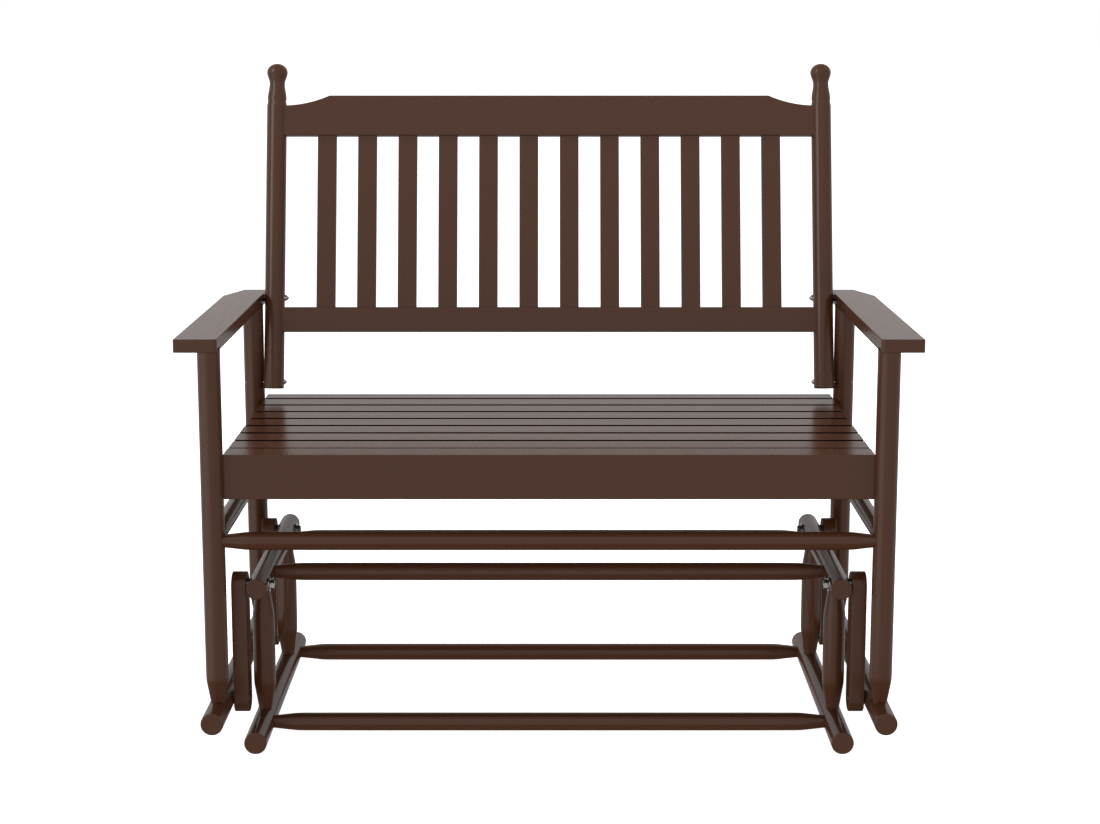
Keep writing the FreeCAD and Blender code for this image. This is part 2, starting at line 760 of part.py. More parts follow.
def stile_fasteners():
    """The bolts that hold the back to the rear posts and to the armrests."""
    bolts = []
    nuts = []
    for side in sides:
        arm_seat_x = stile_x - stile_r + arm_nut_seat
        post_seat_x = stile_x - stile_r + post_nut_seat
        engaged = cap_nut_washer_thickness + cap_nut_length / 2 - butt_gap
        bolts.append(rod(side.at(arm_seat_x - engaged, arm_bolt_y, arm_bolt_z),
                         side.at(arm_inner_x + arm_bolt_bite, arm_bolt_y, arm_bolt_z), stile_bolt_r))
        head_x = post_x + post_r - carriage_seat
        shank = rod(side.at(post_seat_x - engaged, post_bolt_y, post_bolt_height),
                    side.at(head_x, post_bolt_y, post_bolt_height), stile_bolt_r)
        head = dome(side.at(head_x, post_bolt_y, post_bolt_height), side.out, carriage_r, carriage_height)
        bolts.append(shank.fuse(head).removeSplitter())
        nuts.extend(cap_nut(side, arm_seat_x, arm_bolt_y, arm_bolt_z))
        nuts.extend(cap_nut(side, post_seat_x, post_bolt_y, post_bolt_height))
        nuts.append(ring(side.at(stile_x + stile_r - spacer_seat, arm_bolt_y, arm_bolt_z),
                         side.at(arm_inner_x, arm_bolt_y, arm_bolt_z), cap_nut_washer_r,
                         stile_bolt_r + glue_gap))
    keep("stile_bolts", bolts)
    keep("stile_cap_nuts_and_spacers", nuts)


def stile_cuts(side):
    """The bolt holes in a stile, with flats for the cap nuts and the spacer."""
    cuts = [post_bolt_hole(side), arm_bolt_hole(side)]
    seats = (
        (-1, arm_nut_seat, arm_bolt_y, arm_bolt_z),
        (-1, post_nut_seat, post_bolt_y, post_bolt_height),
        (1, spacer_seat, arm_bolt_y, arm_bolt_z),
    )
    for face, depth, y, z in seats:
        surface = stile_x + face * stile_r
        cuts.append(rod(side.at(surface - face * depth, y, z), side.at(surface + face * stile_r, y, z),
                        cap_nut_washer_r + glue_gap))
    return cuts


def stile_outline():
    """Half of a stile's section: plain below, with a ball, a neck and a swell turned at the top."""
    def swing(drop0, r0, drop1, r1, count):
        """Points that leave r0 and reach r1 with no slope, as half a cosine wave."""
        points = []
        for i in range(1, count + 1):
            share = i / count
            points.append((drop0 + share * (drop1 - drop0),
                           r0 + (r1 - r0) * (1 - math.cos(math.pi * share)) / 2))
        return points

    profile = []
    for i in range(1, 7):
        turn = math.radians(15 * i)
        profile.append((ball_drop * (1 - math.cos(turn)), ball_r * math.sin(turn)))
    profile += swing(ball_drop, ball_r, neck_drop, neck_r, 5)
    profile += swing(neck_drop, neck_r, swell_drop, swell_r, 5)
    top = Vector(0, 0, stile_top)
    curve = Part.BSplineCurve()
    curve.interpolate([top] + [Vector(radius, 0, stile_top - drop) for drop, radius in profile])
    straight = [
        Vector(swell_r, 0, stile_top - swell_drop),
        Vector(groove_r, 0, stile_top - groove_drop),
        Vector(stile_r, 0, stile_top - shoulder_drop),
        Vector(stile_r, 0, end_chamfer - stile_foot),
        Vector(stile_r - end_chamfer, 0, -stile_foot),
        Vector(0, 0, -stile_foot),
        top,
    ]
    return Part.Wire([curve.toShape()] + Part.makePolygon(straight).Edges)


def stiles():
    """The two stiles of the back, with sockets for the rails' tenons."""
    bar = Part.Face(stile_outline()).revolve(Vector(), Z, 360)
    for side in sides:
        stile = bar.copy()
        stile.translate(X * side.sign * stile_x)
        cuts = stile_cuts(side)
        for above, width in rail_places:
            start = side.at(stile_x - 2 * stile_r, 0, above + width / 2)
            end = side.at(stile_x - stile_r + back_rail_tenon + end_gap, 0, above + width / 2)
            cuts.append(leaned(rod(start, end, back_rail_tenon_r + glue_gap)))
            reach = stile_x - stile_r + back_rail_housing
            housing = block(*sorted((side.sign * (stile_x - 2 * stile_r), side.sign * reach)),
                            -back_rail_thickness / 2 - glue_gap, back_rail_thickness / 2 + glue_gap,
                            above - glue_gap, above + width + glue_gap)
            cuts.append(leaned(housing))
        keep(f"back_stile_{side.name}", leaned(stile), cuts)


# Each rail is let into the round stiles until its whole end is below their surface.
back_rail_housing = stile_r - math.sqrt(stile_r ** 2 - (back_rail_thickness / 2) ** 2) + butt_gap
rail_places = ((back_bottom_rail, back_bottom_rail_width), (back_top_rail, back_top_rail_width))
rail_half = stile_x - stile_r + back_rail_housing - glue_gap
back_slat_low = back_bottom_rail + back_bottom_rail_width
back_slat_places = [(i + 0.5) * back_slat_pitch for i in range(back_slats_each_side)]


def rail_tenons(above, width):
    """The round tenons at both ends of a rail of the back."""
    reach = stile_x - stile_r + back_rail_tenon
    return rod(Vector(-reach, 0, above + width / 2), Vector(reach, 0, above + width / 2),
               back_rail_tenon_r)


def mortises():
    """The tools that cut the slats' mortises in both rails."""
    half_w = back_slat_width / 2 - back_slat_shoulder + glue_gap
    half_t = back_slat_thickness / 2 - back_slat_shoulder + glue_gap
    tools = []
    for x in back_slat_places:
        for sign in (-1, 1):
            tools.append(leaned(block(
                sign * x - half_w, sign * x + half_w, -half_t, half_t,
                back_slat_low - back_slat_tenon - end_gap, back_top_rail + back_slat_tenon + end_gap,
            )))
    return tools


def back_rails():
    """The bottom rail, and the top rail with its raised crest and hollow shoulders."""
    half_t = back_rail_thickness / 2
    cuts = mortises()
    bottom = block(-rail_half, rail_half, -half_t, half_t, back_bottom_rail, back_slat_low)
    bottom = ease(bottom, runs_along(X)).fuse(rail_tenons(*rail_places[0]))
    keep("back_bottom_rail", leaned(bottom), cuts)
    end_top = back_top_rail + back_top_rail_width
    crest = end_top + crest_rise
    shoulder = stile_x - stile_r
    hollow = shoulder - crest_run
    along = shoulder - sag_share * crest_run

    def curve(sign):
        return Part.Arc(Vector(sign * shoulder, -half_t, end_top),
                        Vector(sign * along, -half_t, end_top + crest_sag),
                        Vector(sign * hollow, -half_t, crest)).toShape()

    def line(x0, z0, x1, z1):
        return Part.makeLine(Vector(x0, -half_t, z0), Vector(x1, -half_t, z1))

    outline = Part.Wire([
        line(-rail_half, back_top_rail, rail_half, back_top_rail),
        line(rail_half, back_top_rail, rail_half, end_top),
        line(rail_half, end_top, shoulder, end_top),
        curve(1),
        line(hollow, crest, -hollow, crest),
        curve(-1),
        line(-shoulder, end_top, -rail_half, end_top),
        line(-rail_half, end_top, -rail_half, back_top_rail),
    ])
    top = Part.Face(outline).extrude(Y * back_rail_thickness)
    top = ease(top, lambda edge: edge.BoundBox.YLength < 0.1 and edge.BoundBox.XLength > eased * 4)
    top = top.fuse(rail_tenons(*rail_places[1]))
    keep("back_top_rail", leaned(top), cuts)


def back_slat(x):
    """One upright slat of the back, with a tenon at each end."""
    half_w = back_slat_width / 2
    half_t = back_slat_thickness / 2
    body = block(x - half_w, x + half_w, -half_t, half_t, back_slat_low, back_top_rail)
    body = ease(body, runs_along(Z))
    tenon = block(
        x - half_w + back_slat_shoulder, x + half_w - back_slat_shoulder,
        -half_t + back_slat_shoulder, half_t - back_slat_shoulder,
        back_slat_low - back_slat_tenon, back_top_rail + back_slat_tenon,
    )
    return leaned(body.fuse(tenon))


def back_slats():
    """The slats of the left half and of the right half of the back."""
    for side in sides:
        keep(f"back_slats_{side.name}", [back_slat(side.sign * x) for x in back_slat_places])


sides = [Side(name, sign) for name, sign in SIDES]
for side in sides:
    base_side(side)
    seat_side(side)
base_stretchers()
linkage()
seat_stretchers()
seat_aprons()
seat_slats()
keep("seat_frame_screws", [apron_screw(side, place) for side in sides for place in screw_y])
stiles()
back_rails()
back_slats()
stile_fasteners()

os.makedirs("parts", exist_ok=True)
for name, shape in parts.items():
    shape.exportStep(f"parts/{name}.step")
    box = shape.BoundBox
    print(
        f"{name}: {len(shape.Solids)} solids, valid {shape.isValid()}, {shape.Volume / 1000:.1f} cm3,"
        f" X {box.XMin:.1f} to {box.XMax:.1f}, Y {box.YMin:.1f} to {box.YMax:.1f},"
        f" Z {box.ZMin:.1f} to {box.ZMax:.1f}"
    )
print(f"{len(parts)} nodes")
print(f"front posts' axis at Y {front_y:.3f}, rear posts' at {rear_y:.3f}, base middle at {base_y:.3f}")
for place, y in sides[0].pivots.items():
    print(f"{place} pivots at Y {y:.3f}, Z {pivot_height:.3f} and {lower_pivot_z:.3f}")
print(f"links' middle at X {(link_inner_x + link_outer_x) / 2:.3f}, posts' axis at X {post_x:.3f}")
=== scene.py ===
"""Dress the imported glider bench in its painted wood, zinc-plated hardware and nylon bushes.

Shapes are worked out in millimetres in the row frame (+X right, +Y rear, +Z up). The meshes are in metres.
"""

import logging
import math
from collections.abc import Sequence
from dataclasses import dataclass, field
from enum import Enum
from typing import ClassVar

import bmesh
import bpy
import numpy as np
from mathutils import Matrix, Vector


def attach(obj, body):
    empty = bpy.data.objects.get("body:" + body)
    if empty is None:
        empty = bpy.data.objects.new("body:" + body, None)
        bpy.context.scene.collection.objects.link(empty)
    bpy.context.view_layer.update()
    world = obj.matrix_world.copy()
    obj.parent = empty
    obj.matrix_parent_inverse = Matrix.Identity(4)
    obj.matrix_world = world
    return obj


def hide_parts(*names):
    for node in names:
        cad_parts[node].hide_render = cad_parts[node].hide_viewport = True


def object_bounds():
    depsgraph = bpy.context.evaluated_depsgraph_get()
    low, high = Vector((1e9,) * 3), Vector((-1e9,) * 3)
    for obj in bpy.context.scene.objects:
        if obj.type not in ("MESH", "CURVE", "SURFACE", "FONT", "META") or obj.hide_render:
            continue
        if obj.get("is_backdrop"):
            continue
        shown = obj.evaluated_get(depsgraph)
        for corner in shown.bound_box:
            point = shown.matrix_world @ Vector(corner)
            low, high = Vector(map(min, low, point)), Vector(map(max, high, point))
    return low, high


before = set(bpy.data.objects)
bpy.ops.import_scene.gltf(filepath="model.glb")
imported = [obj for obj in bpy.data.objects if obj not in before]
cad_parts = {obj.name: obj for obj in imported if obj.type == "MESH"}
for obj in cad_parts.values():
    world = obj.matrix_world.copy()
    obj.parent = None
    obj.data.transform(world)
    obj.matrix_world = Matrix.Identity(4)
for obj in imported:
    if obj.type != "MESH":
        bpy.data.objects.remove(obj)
CAD_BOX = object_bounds()

MM = 0.001
SEED = 41
GRAIN_REACH = 5.0               # metres each way, in which a piece's place in the wood is drawn
SHARP_ANGLE = math.radians(35.0)
WELD = 0.004                    # mm, under which points become one
FLAT = 0.4                      # mm: a narrow flat beside each rounded edge keeps the shading of faces flat
SAWN = 0.1                      # mm, the chamfer round a sawn end
SHOULDER = 1.0                  # mm, over which the shoulders of a turned bar are rounded
WASHER_EDGE = 0.25              # mm, cut off the edges of washers and spacers
THIN_EDGE = 0.2                 # mm, off those of the thinnest ones
PLAY = 0.1                      # mm, round a bolt in its washers and spacers
ROUND = 48                      # points round a turned piece
FINE = 72                       # and round one that has six sides in it
CORNER_STEPS = 4                # parts of a rounded corner
DOME_RINGS = 12                 # rings on a dome, and on a half wave of a finial
LAMP_TARGET = (0.0, 0.0, 0.5)   # metres, about the bench's middle
WHITE = (1.0, 1.0, 1.0, 1.0)
NOISE_RANGE = {"From Min": 0.3, "From Max": 0.7}    # which noise seldom leaves

Array = np.ndarray
Place = Sequence[float]
Socket = bpy.types.NodeSocket
log = logging.getLogger("glider_bench")


class Axis(Enum):
    """Which of the row frame's axes the grain of a piece runs along: that axis, then the two others."""

    X = (0, 1, 2)
    Y = (1, 0, 2)
    Z = (2, 0, 1)


class Slot(Enum):
    """The record's material slots."""

    WOOD = "painted_wood"
    STEEL = "zinc_steel"
    NYLON = "nylon"


# Shapes


@dataclass
class Surface:
    """A surface in millimetres.

    Attributes:
        points: An array of (count, 3) places.
        faces: Corner numbers of each face.
    """

    points: Array
    faces: list[list[int]]

    def moved(self, offset: Place) -> "Surface":
        """Return the surface shifted by an offset."""
        return Surface(self.points + np.asarray(offset, float), self.faces)

    def reordered(self, order: Sequence[int]) -> "Surface":
        """Return the surface with its axes taken in another order."""
        return Surface(self.points[:, list(order)], self.faces)


def joined(surfaces: Sequence[Surface]) -> Surface:
    """Put several surfaces side by side in one.

    Args:
        surfaces: The surfaces to gather.

    Returns:
        One surface that holds all of them.
    """
    starts = np.cumsum([0] + [len(surface.points) for surface in surfaces])
    faces = [
        [corner + int(start) for corner in face]
        for start, surface in zip(starts, surfaces)
        for face in surface.faces
    ]
    return Surface(np.concatenate([surface.points for surface in surfaces]), faces)


def carried(loops: Array, wraps: bool = False) -> Surface:
    """Join closed loops of points, one after another, into a skin: a quad between each pair of neighbours.

    Args:
        loops: An array of (rows, columns, 3); each row is a closed loop.
        wraps: True joins the last loop to the first, and False closes both ends with a face.

    Returns:
        The skin.
    """
    rows, columns = loops.shape[:2]
    row, column = np.meshgrid(np.arange(rows if wraps else rows - 1), np.arange(columns), indexing="ij")
    here, above = row * columns, (row + 1) % rows * columns
    beside = (column + 1) % columns
    faces = np.stack([here + column, here + beside, above + beside, above + column], -1)
    faces = faces.reshape(-1, 4).tolist()
    if not wraps:
        faces += [list(range(columns))[::-1], list(range((rows - 1) * columns, rows * columns))]
    return Surface(loops.reshape(-1, 3), faces)


def axes_along(direction: Place) -> Array:
    """Find three unit axes of which the first runs along a direction.

    Args:
        direction: Any vector that isn't zero.

    Returns:
        A 3 by 3 array of rows: the direction, and two axes across it.
    """
    along = np.asarray(direction, float)
    along = along / np.linalg.norm(along)
    helper = (0.0, 0.0, 1.0) if abs(along[2]) < 0.9 else (0.0, 1.0, 0.0)
    across = np.cross(helper, along)
    across = across / np.linalg.norm(across)
    return np.stack([along, across, np.cross(along, across)])


def way(start: Place, end: Place) -> tuple[Array, float]:
    """Return the vector from one place to another, and its length."""
    step = np.asarray(end, float) - np.asarray(start, float)
    return step, float(np.linalg.norm(step))


def turned(profile: Array, start: Place, direction: Place, count: int = ROUND, wraps: bool = False,
           shares: Array | float = 1.0, shifts: Array | float = 0.0) -> Surface:
    """Turn a profile about an axis: a ring of each radius at each distance along the axis.

    Args:
        profile: Rows of (distance along the axis, radius).
        start: Where the distance is nought.
        direction: Which way the axis points.
        count: Points on each ring.
        wraps: True for a ring-shaped piece, whose profile is itself a closed loop.
        shares: What each ring's radius is multiplied by, one row a ring and one column a point.
        shifts: How far each point is moved along the axis, in the same way.

    Returns:
        The turned surface.
    """
    axes = axes_along(direction)
    angle = np.linspace(0.0, 2.0 * math.pi, count, endpoint=False)
    around = np.cos(angle)[:, None] * axes[1] + np.sin(angle)[:, None] * axes[2]
    along = np.broadcast_to(profile[:, 0, None] + shifts, (len(profile), count))[..., None]
    radius = np.broadcast_to(profile[:, 1, None] * shares, (len(profile), count))[..., None]
    return carried(np.asarray(start, float) + along * axes[0] + radius * around, wraps)


@dataclass
class Outline:
    """An outline with round corners, and the way outwards at each of its points.

    Attributes:
        points: An array of (count, 2) places.
        outward: Unit vectors of the same shape.
    """

    points: Array
    outward: Array

    def stacked(self, rows: Array) -> Surface:
        """Carry the closed outline upwards: each row moves it inwards and lifts it.

        Args:
            rows: Of (distance inwards, height).

        Returns:
            The body, with x and y as in the outline and z upwards.
        """
        loops = self.points - rows[:, 0, None, None] * self.outward
        height = np.broadcast_to(rows[:, 1, None, None], loops.shape[:2] + (1,))
        return carried(np.concatenate([loops, height], -1))


def rounded(corners: Array, radius: float | Sequence[float]) -> Outline:
    """Round the corners of a convex polygon: each becomes an arc that touches both of its sides.

    Args:
        corners: Rows of (x, y), counter-clockwise.
        radius: Of every arc, or of each.

    Returns:
        The rounded outline, with a narrow flat before and after each arc.
    """
    ahead = np.roll(corners, -1, axis=0) - corners
    ahead = ahead / np.linalg.norm(ahead, axis=1, keepdims=True)
    leaving = np.stack([ahead[:, 1], -ahead[:, 0]], -1)
    coming = np.roll(leaving, 1, axis=0)
    size = np.broadcast_to(np.asarray(radius, float), len(corners))[:, None]
    centre = corners - size * (coming + leaving) / (1.0 + (coming * leaving).sum(1, keepdims=True))
    first, last = (np.arctan2(normal[:, 1], normal[:, 0]) for normal in (coming, leaving))
    swing = (last - first) % (2.0 * math.pi)
    angle = first[:, None] + swing[:, None] * np.linspace(0.0, 1.0, CORNER_STEPS + 1)
    outward = np.stack([np.cos(angle), np.sin(angle)], -1)
    arc = centre[:, None] + size[:, None] * outward
    before = arc[:, :1] - FLAT * np.roll(ahead, 1, axis=0)[:, None]
    points = np.concatenate([before, arc, arc[:, -1:] + FLAT * ahead[:, None]], axis=1)
    outward = np.concatenate([outward[:, :1], outward, outward[:, -1:]], axis=1)
    return Outline(points.reshape(-1, 2), outward.reshape(-1, 2))


def rectangle(x0: float, x1: float, y0: float, y1: float, radius: float | Sequence[float]) -> Outline:
    """Return a rounded rectangle; radii of their own start at the corner with the least x and y."""
    return rounded(np.array([[x0, y0], [x1, y0], [x1, y1], [x0, y1]]), radius)


def eased_corner(ease: float, steps: int = 5) -> Array:
    """Work out an eased corner: a quarter circle between two narrow flats.

    Args:
        ease: Radius of the quarter circle.
        steps: Parts that it is divided into.

    Returns:
        Rows of (distance inwards, height), from the face to the side.
    """
    turn = np.linspace(0.0, math.pi / 2.0, steps + 1)
    arc = ease * (1.0 - np.stack([np.sin(turn), np.cos(turn)], -1))
    return np.concatenate([[[ease + FLAT, 0.0]], arc, [[0.0, ease + FLAT]]])


def eased_edge(ease: float, thickness: float, steps: int = 5) -> Array:
    """Return the eased corners of the lower and the upper face of a board, as rows of (inwards, height)."""
    lower = eased_corner(ease, steps)
    return np.concatenate([lower, lower[::-1] * (1.0, -1.0) + (0.0, thickness)])


def lath(section: Outline, start: float, end: float, along: Axis) -> Surface:
    """Make a board sawn square at both ends: its section carried along an axis, with a fine chamfer.

    Args:
        section: Seen along the axis, with the two other axes in their own order.
        start: Where the board begins on the axis.
        end: Where it ends.
        along: The axis.

    Returns:
        The board.
    """
    rows = np.array([[SAWN, start], [0.0, start + SAWN], [0.0, end - SAWN], [SAWN, end]])
    order = {Axis.X: (2, 0, 1), Axis.Y: (0, 2, 1), Axis.Z: (0, 1, 2)}[along]
    return section.stacked(rows).reordered(order)


def softer(first: Array, second: Array) -> Array:
    """Take the smaller of two lengths, with the change from one to the other rounded over a shoulder."""
    return (first + second - np.sqrt((first - second) ** 2 + SHOULDER ** 2)) / 2.0


@dataclass(frozen=True)
class TurnedEnd:
    """How an end of a turned bar is shaped.

    Attributes:
        tip: Radius where the end meets its neighbour.
        taper: Length over which it grows to the bar's own radius.
        let_in: How far it goes on into its neighbour.
    """

    tip: float
    taper: float
    let_in: float

    @property
    def rings(self) -> Array:
        """Return where rings lie, measured from the tip: most are close together about the shoulder."""
        about_shoulder = SHOULDER * np.linspace(-4.0, 6.0, 13)
        return np.concatenate([[-self.let_in, 0.0], self.taper + about_shoulder])

    def cone(self, distance: Array, radius: float) -> Array:
        """Work out the cone: its radius grows evenly from the tip's, or is past the bar's with no taper.

        Args:
            distance: From the tip.
            radius: Of the bar.

        Returns:
            The cone's radius at each distance.
        """
        if self.tip >= radius:
            return np.full_like(distance, radius + 10.0 * SHOULDER)
        return self.tip + (radius - self.tip) * np.maximum(distance, 0.0) / self.taper


def turned_bar(start: Place, end: Place, radius: float, first: TurnedEnd,
               last: TurnedEnd | None = None) -> Surface:
    """Make a bar with tapered ends: its radius is the least of both cones and the bar, with soft shoulders.

    Args:
        start: Where its first end meets its neighbour.
        end: Where its last end does.
        radius: Of the bar between the tapers.
        first: Its first end.
        last: Its last end, where that isn't like the first.

    Returns:
        The bar, whose ends go on into its neighbours.
    """
    step, length = way(start, end)
    last = last or first
    near, far = first.rings, (length - last.rings)[::-1]
    spacing, count = 5.0, 12        # of the plain part's rings: mm past the shoulders' rings, and how many
    along = np.concatenate([near, np.linspace(near[-1] + spacing, far[0] - spacing, count), far])
    size = softer(first.cone(along, radius), np.full_like(along, radius))
    size = softer(last.cone(length - along, radius), size)
    return turned(np.stack([along, size], -1), start, step)


def round_bar(start: Place, end: Place, radius: float, ease: float) -> Surface:
    """Make a plain round bar: the edge of each end is a quarter circle.

    Args:
        start: Middle of its first end.
        end: Middle of its last end.
        radius: Of the bar.
        ease: Radius of the quarter circles.

    Returns:
        The bar.
    """
    step, length = way(start, end)
    edge = eased_edge(ease, length, steps=6)
    half = len(edge) // 2
    count = 14                      # rings along the plain part
    between = np.linspace(0.0, length, count + 2)[1:-1]
    edge = np.concatenate([edge[:half], np.stack([np.zeros_like(between), between], -1), edge[half:]])
    return turned(np.stack([edge[:, 1], radius - edge[:, 0]], -1), start, step)


def ring(start: Place, end: Place, outer: float, inner: float, ease: float = WASHER_EDGE) -> Surface:
    """Make a washer, spacer or bush: a rectangle with cut corners, turned about its axis.

    Args:
        start: Middle of its first face.
        end: Middle of its last face.
        outer: Its outer radius.
        inner: Radius of its hole.
        ease: Cut off each of its edges.

    Returns:
        The ring.
    """
    step, length = way(start, end)
    profile = np.array([
        [0.0, inner + ease], [0.0, outer - ease], [ease, outer], [length - ease, outer],
        [length, outer - ease], [length, inner + ease], [length - ease, inner], [ease, inner],
    ])
    return turned(profile, start, step, wraps=True)


def hexagon_shares() -> Array:
    """Work out how far a hexagon reaches in each direction, over half its width across the flats.

    Returns:
        1 / cos of the angle from the middle of the nearest flat, for each point of a fine ring.
    """
    angle = np.linspace(0.0, 2.0 * math.pi, FINE, endpoint=False)
    sixth = math.pi / 3.0
    return 1.0 / np.cos((angle + sixth / 2.0) % sixth - sixth / 2.0)


@dataclass(frozen=True)
class Hexagon:
    """A nut or the head of a bolt.

    Attributes:
        flats: Width across its flats.
        height: Along its axis.
        bore: Radius of the hole, or nought.
        rim: Cut off the edges of the hole.
        face: Radius of its round faces, over half its width across the flats.
        edge: How far from each face its flats begin, at their middles.
        cone: Angle at which its corners are cut.
        middle: Radius, less the rim, of the flat middle of a face without a hole.
    """

    flats: float
    height: float
    bore: float
    rim: float = 0.3
    face: float = 0.97
    edge: float = 0.05
    cone: float = math.radians(30.0)
    middle: float = 0.4

    def surface(self, start: Place, direction: Place) -> Surface:
        """Make the hexagon: its corners fall away from each face by their reach times the cone's tangent.

        Args:
            start: Middle of its first face.
            direction: Which way its last face lies.

        Returns:
            The surface, with its bore or with both faces closed.
        """
        radius, inner, top = self.flats / 2.0, max(self.bore, self.middle), self.height
        profile = np.array([
            [0.0, inner + self.rim], [0.0, radius * self.face], [self.edge, radius],
            [top - self.edge, radius], [top, radius * self.face], [top, inner + self.rim],
            [top - self.rim, inner], [self.rim, inner],
        ])
        if self.bore == 0.0:
            profile = profile[:6]
        six_sided = np.array([0, 0, 1, -1, 0, 0, 0, 0])[:len(profile), None]
        excess = hexagon_shares() - 1.0
        fall = excess * radius * math.tan(self.cone)
        return turned(profile, start, direction, FINE, self.bore > 0.0, 1.0 + np.abs(six_sided) * excess,
                      six_sided * fall)


@dataclass(frozen=True)
class DomedHead:
    """The low domed head of a bolt or screw.

    Attributes:
        radius: Of the head.
        height: Of the head.
        socket: Width across the flats of its six-sided socket, or nought.
        depth: Of the socket.
        tail_cut: Cut off the shank's end.
        edge: Height and width of the slope under the head's edge.
        mouth: Radius of the round mouth about the socket, over the socket's width.
        lip: How far below the mouth the socket's six sides begin.
        tip: Radius of the flat tip of a head without a socket.
    """

    radius: float
    height: float
    socket: float = 0.0
    depth: float = 0.0
    tail_cut: float = 0.5
    edge: tuple[float, float] = (0.15, 0.2)
    mouth: float = 0.62
    lip: float = 0.1
    tip: float = 0.2

    def bolt(self, tail: Place, neck: Place, steps: Sequence[tuple[float, float]]) -> Surface:
        """Make the whole bolt: a stepped shank, and a dome that is part of a ball through the head's edge.

        Args:
            tail: Middle of the shank's end.
            neck: Where the head begins.
            steps: (distance from the tail, radius) of each part of the shank, in order.

        Returns:
            The bolt.
        """
        step, length = way(tail, neck)
        ball = (self.radius ** 2 + self.height ** 2) / (2.0 * self.height)
        edge_height, edge_width = self.edge
        shank = [[0.0, steps[0][1] - self.tail_cut], [self.tail_cut, steps[0][1]]] + [
            row for (_, before), (at, after) in zip(steps, steps[1:]) for row in ([at, before], [at, after])
        ] + [[length, steps[-1][1]], [length, self.radius - edge_width], [length + edge_height, self.radius]]
        mouth = max(self.socket * self.mouth, self.tip)
        turn = np.linspace(math.asin(self.radius / ball), math.asin(mouth / ball), DOME_RINGS)
        dome = np.stack([length + self.height - ball * (1.0 - np.cos(turn)), ball * np.sin(turn)], -1)
        profile = np.concatenate([shank, dome[1:]])
        shares = np.ones((len(profile), FINE))
        if self.socket > 0.0:
            top, half = dome[-1, 0], self.socket / 2.0
            profile = np.concatenate([profile, [[top - self.lip, half], [top - self.depth, half]]])
            shares = np.concatenate([shares, np.tile(hexagon_shares(), (2, 1))])
        return turned(profile, tail, step, FINE, shares=shares)


@dataclass(frozen=True)
class Across:
    """The line of a bolt that lies across the bench, on one side.

    Attributes:
        sign: -1 for the left side and 1 for the right.
        y: Of the line.
        z: Of the line.
    """

    sign: int
    y: float
    z: float

    @property
    def outwards(self) -> Place:
        """Return the direction away from the bench's middle."""
        return (self.sign, 0.0, 0.0)

    def at(self, x: float) -> Place:
        """Return the place on the line at a distance from the bench's middle."""
        return (self.sign * x, self.y, self.z)

    def ring(self, near: float, far: float, outer: float, inner: float,
             ease: float = WASHER_EDGE) -> Surface:
        """Return a washer, spacer or bush between two distances from the bench's middle."""
        return ring(self.at(near), self.at(far), outer, inner, ease)


# Finishes


def linear(colour: str) -> tuple[float, float, float, float]:
    """Turn an sRGB colour such as "#5A3A2E" into linear light.

    Args:
        colour: Six hex digits after a hash.

    Returns:
        Red, green, blue and an opacity of 1.
    """
    coded = np.array([int(colour[place:place + 2], 16) for place in (1, 3, 5)]) / 255.0
    light = np.where(coded <= 0.04045, coded / 12.92, ((coded + 0.055) / 1.055) ** 2.4)
    return (*light.tolist(), 1.0)


def per_metre(size_mm: float) -> float:
    """Return how often a real size in millimetres fits in a metre, which is a pattern's scale."""
    return 1000.0 / size_mm


def add_node(tree: bpy.types.NodeTree, kind: str, inputs: dict[str | int, object] | None = None,
             **settings: object) -> bpy.types.Node:
    """Add a node with its settings, values and links.

    Args:
        tree: The node tree to add it to.
        kind: Blender's name for the kind of node.
        inputs: A value, or another node's output to link, for each input by name or number.
        settings: The node's own settings.

    Returns:
        The node.
    """
    node = tree.nodes.new(kind)
    for name, value in settings.items():
        setattr(node, name, value)
    for name, value in (inputs or {}).items():
        if isinstance(value, Socket):
            tree.links.new(value, node.inputs[name])
        else:
            node.inputs[name].default_value = value
    return node


@dataclass(frozen=True)
class Finish:
    """A finish that is one shader, whose inputs each kind of finish works out."""

    name: ClassVar[str]

    def inputs(self, tree: bpy.types.NodeTree) -> dict[str | int, object]:
        """Return the shader's values and links, with their nodes added to the tree."""
        raise NotImplementedError

    def material(self) -> bpy.types.Material:
        """Make the material.

        Returns:
            The material, with the finish's own nodes, its shader and the output.
        """
        made = bpy.data.materials.new(self.name)
        made.use_nodes = True
        tree = made.node_tree
        tree.nodes.clear()
        shader = add_node(tree, "ShaderNodeBsdfPrincipled", self.inputs(tree))
        add_node(tree, "ShaderNodeOutputMaterial", {"Surface": shader.outputs["BSDF"]})
        return made


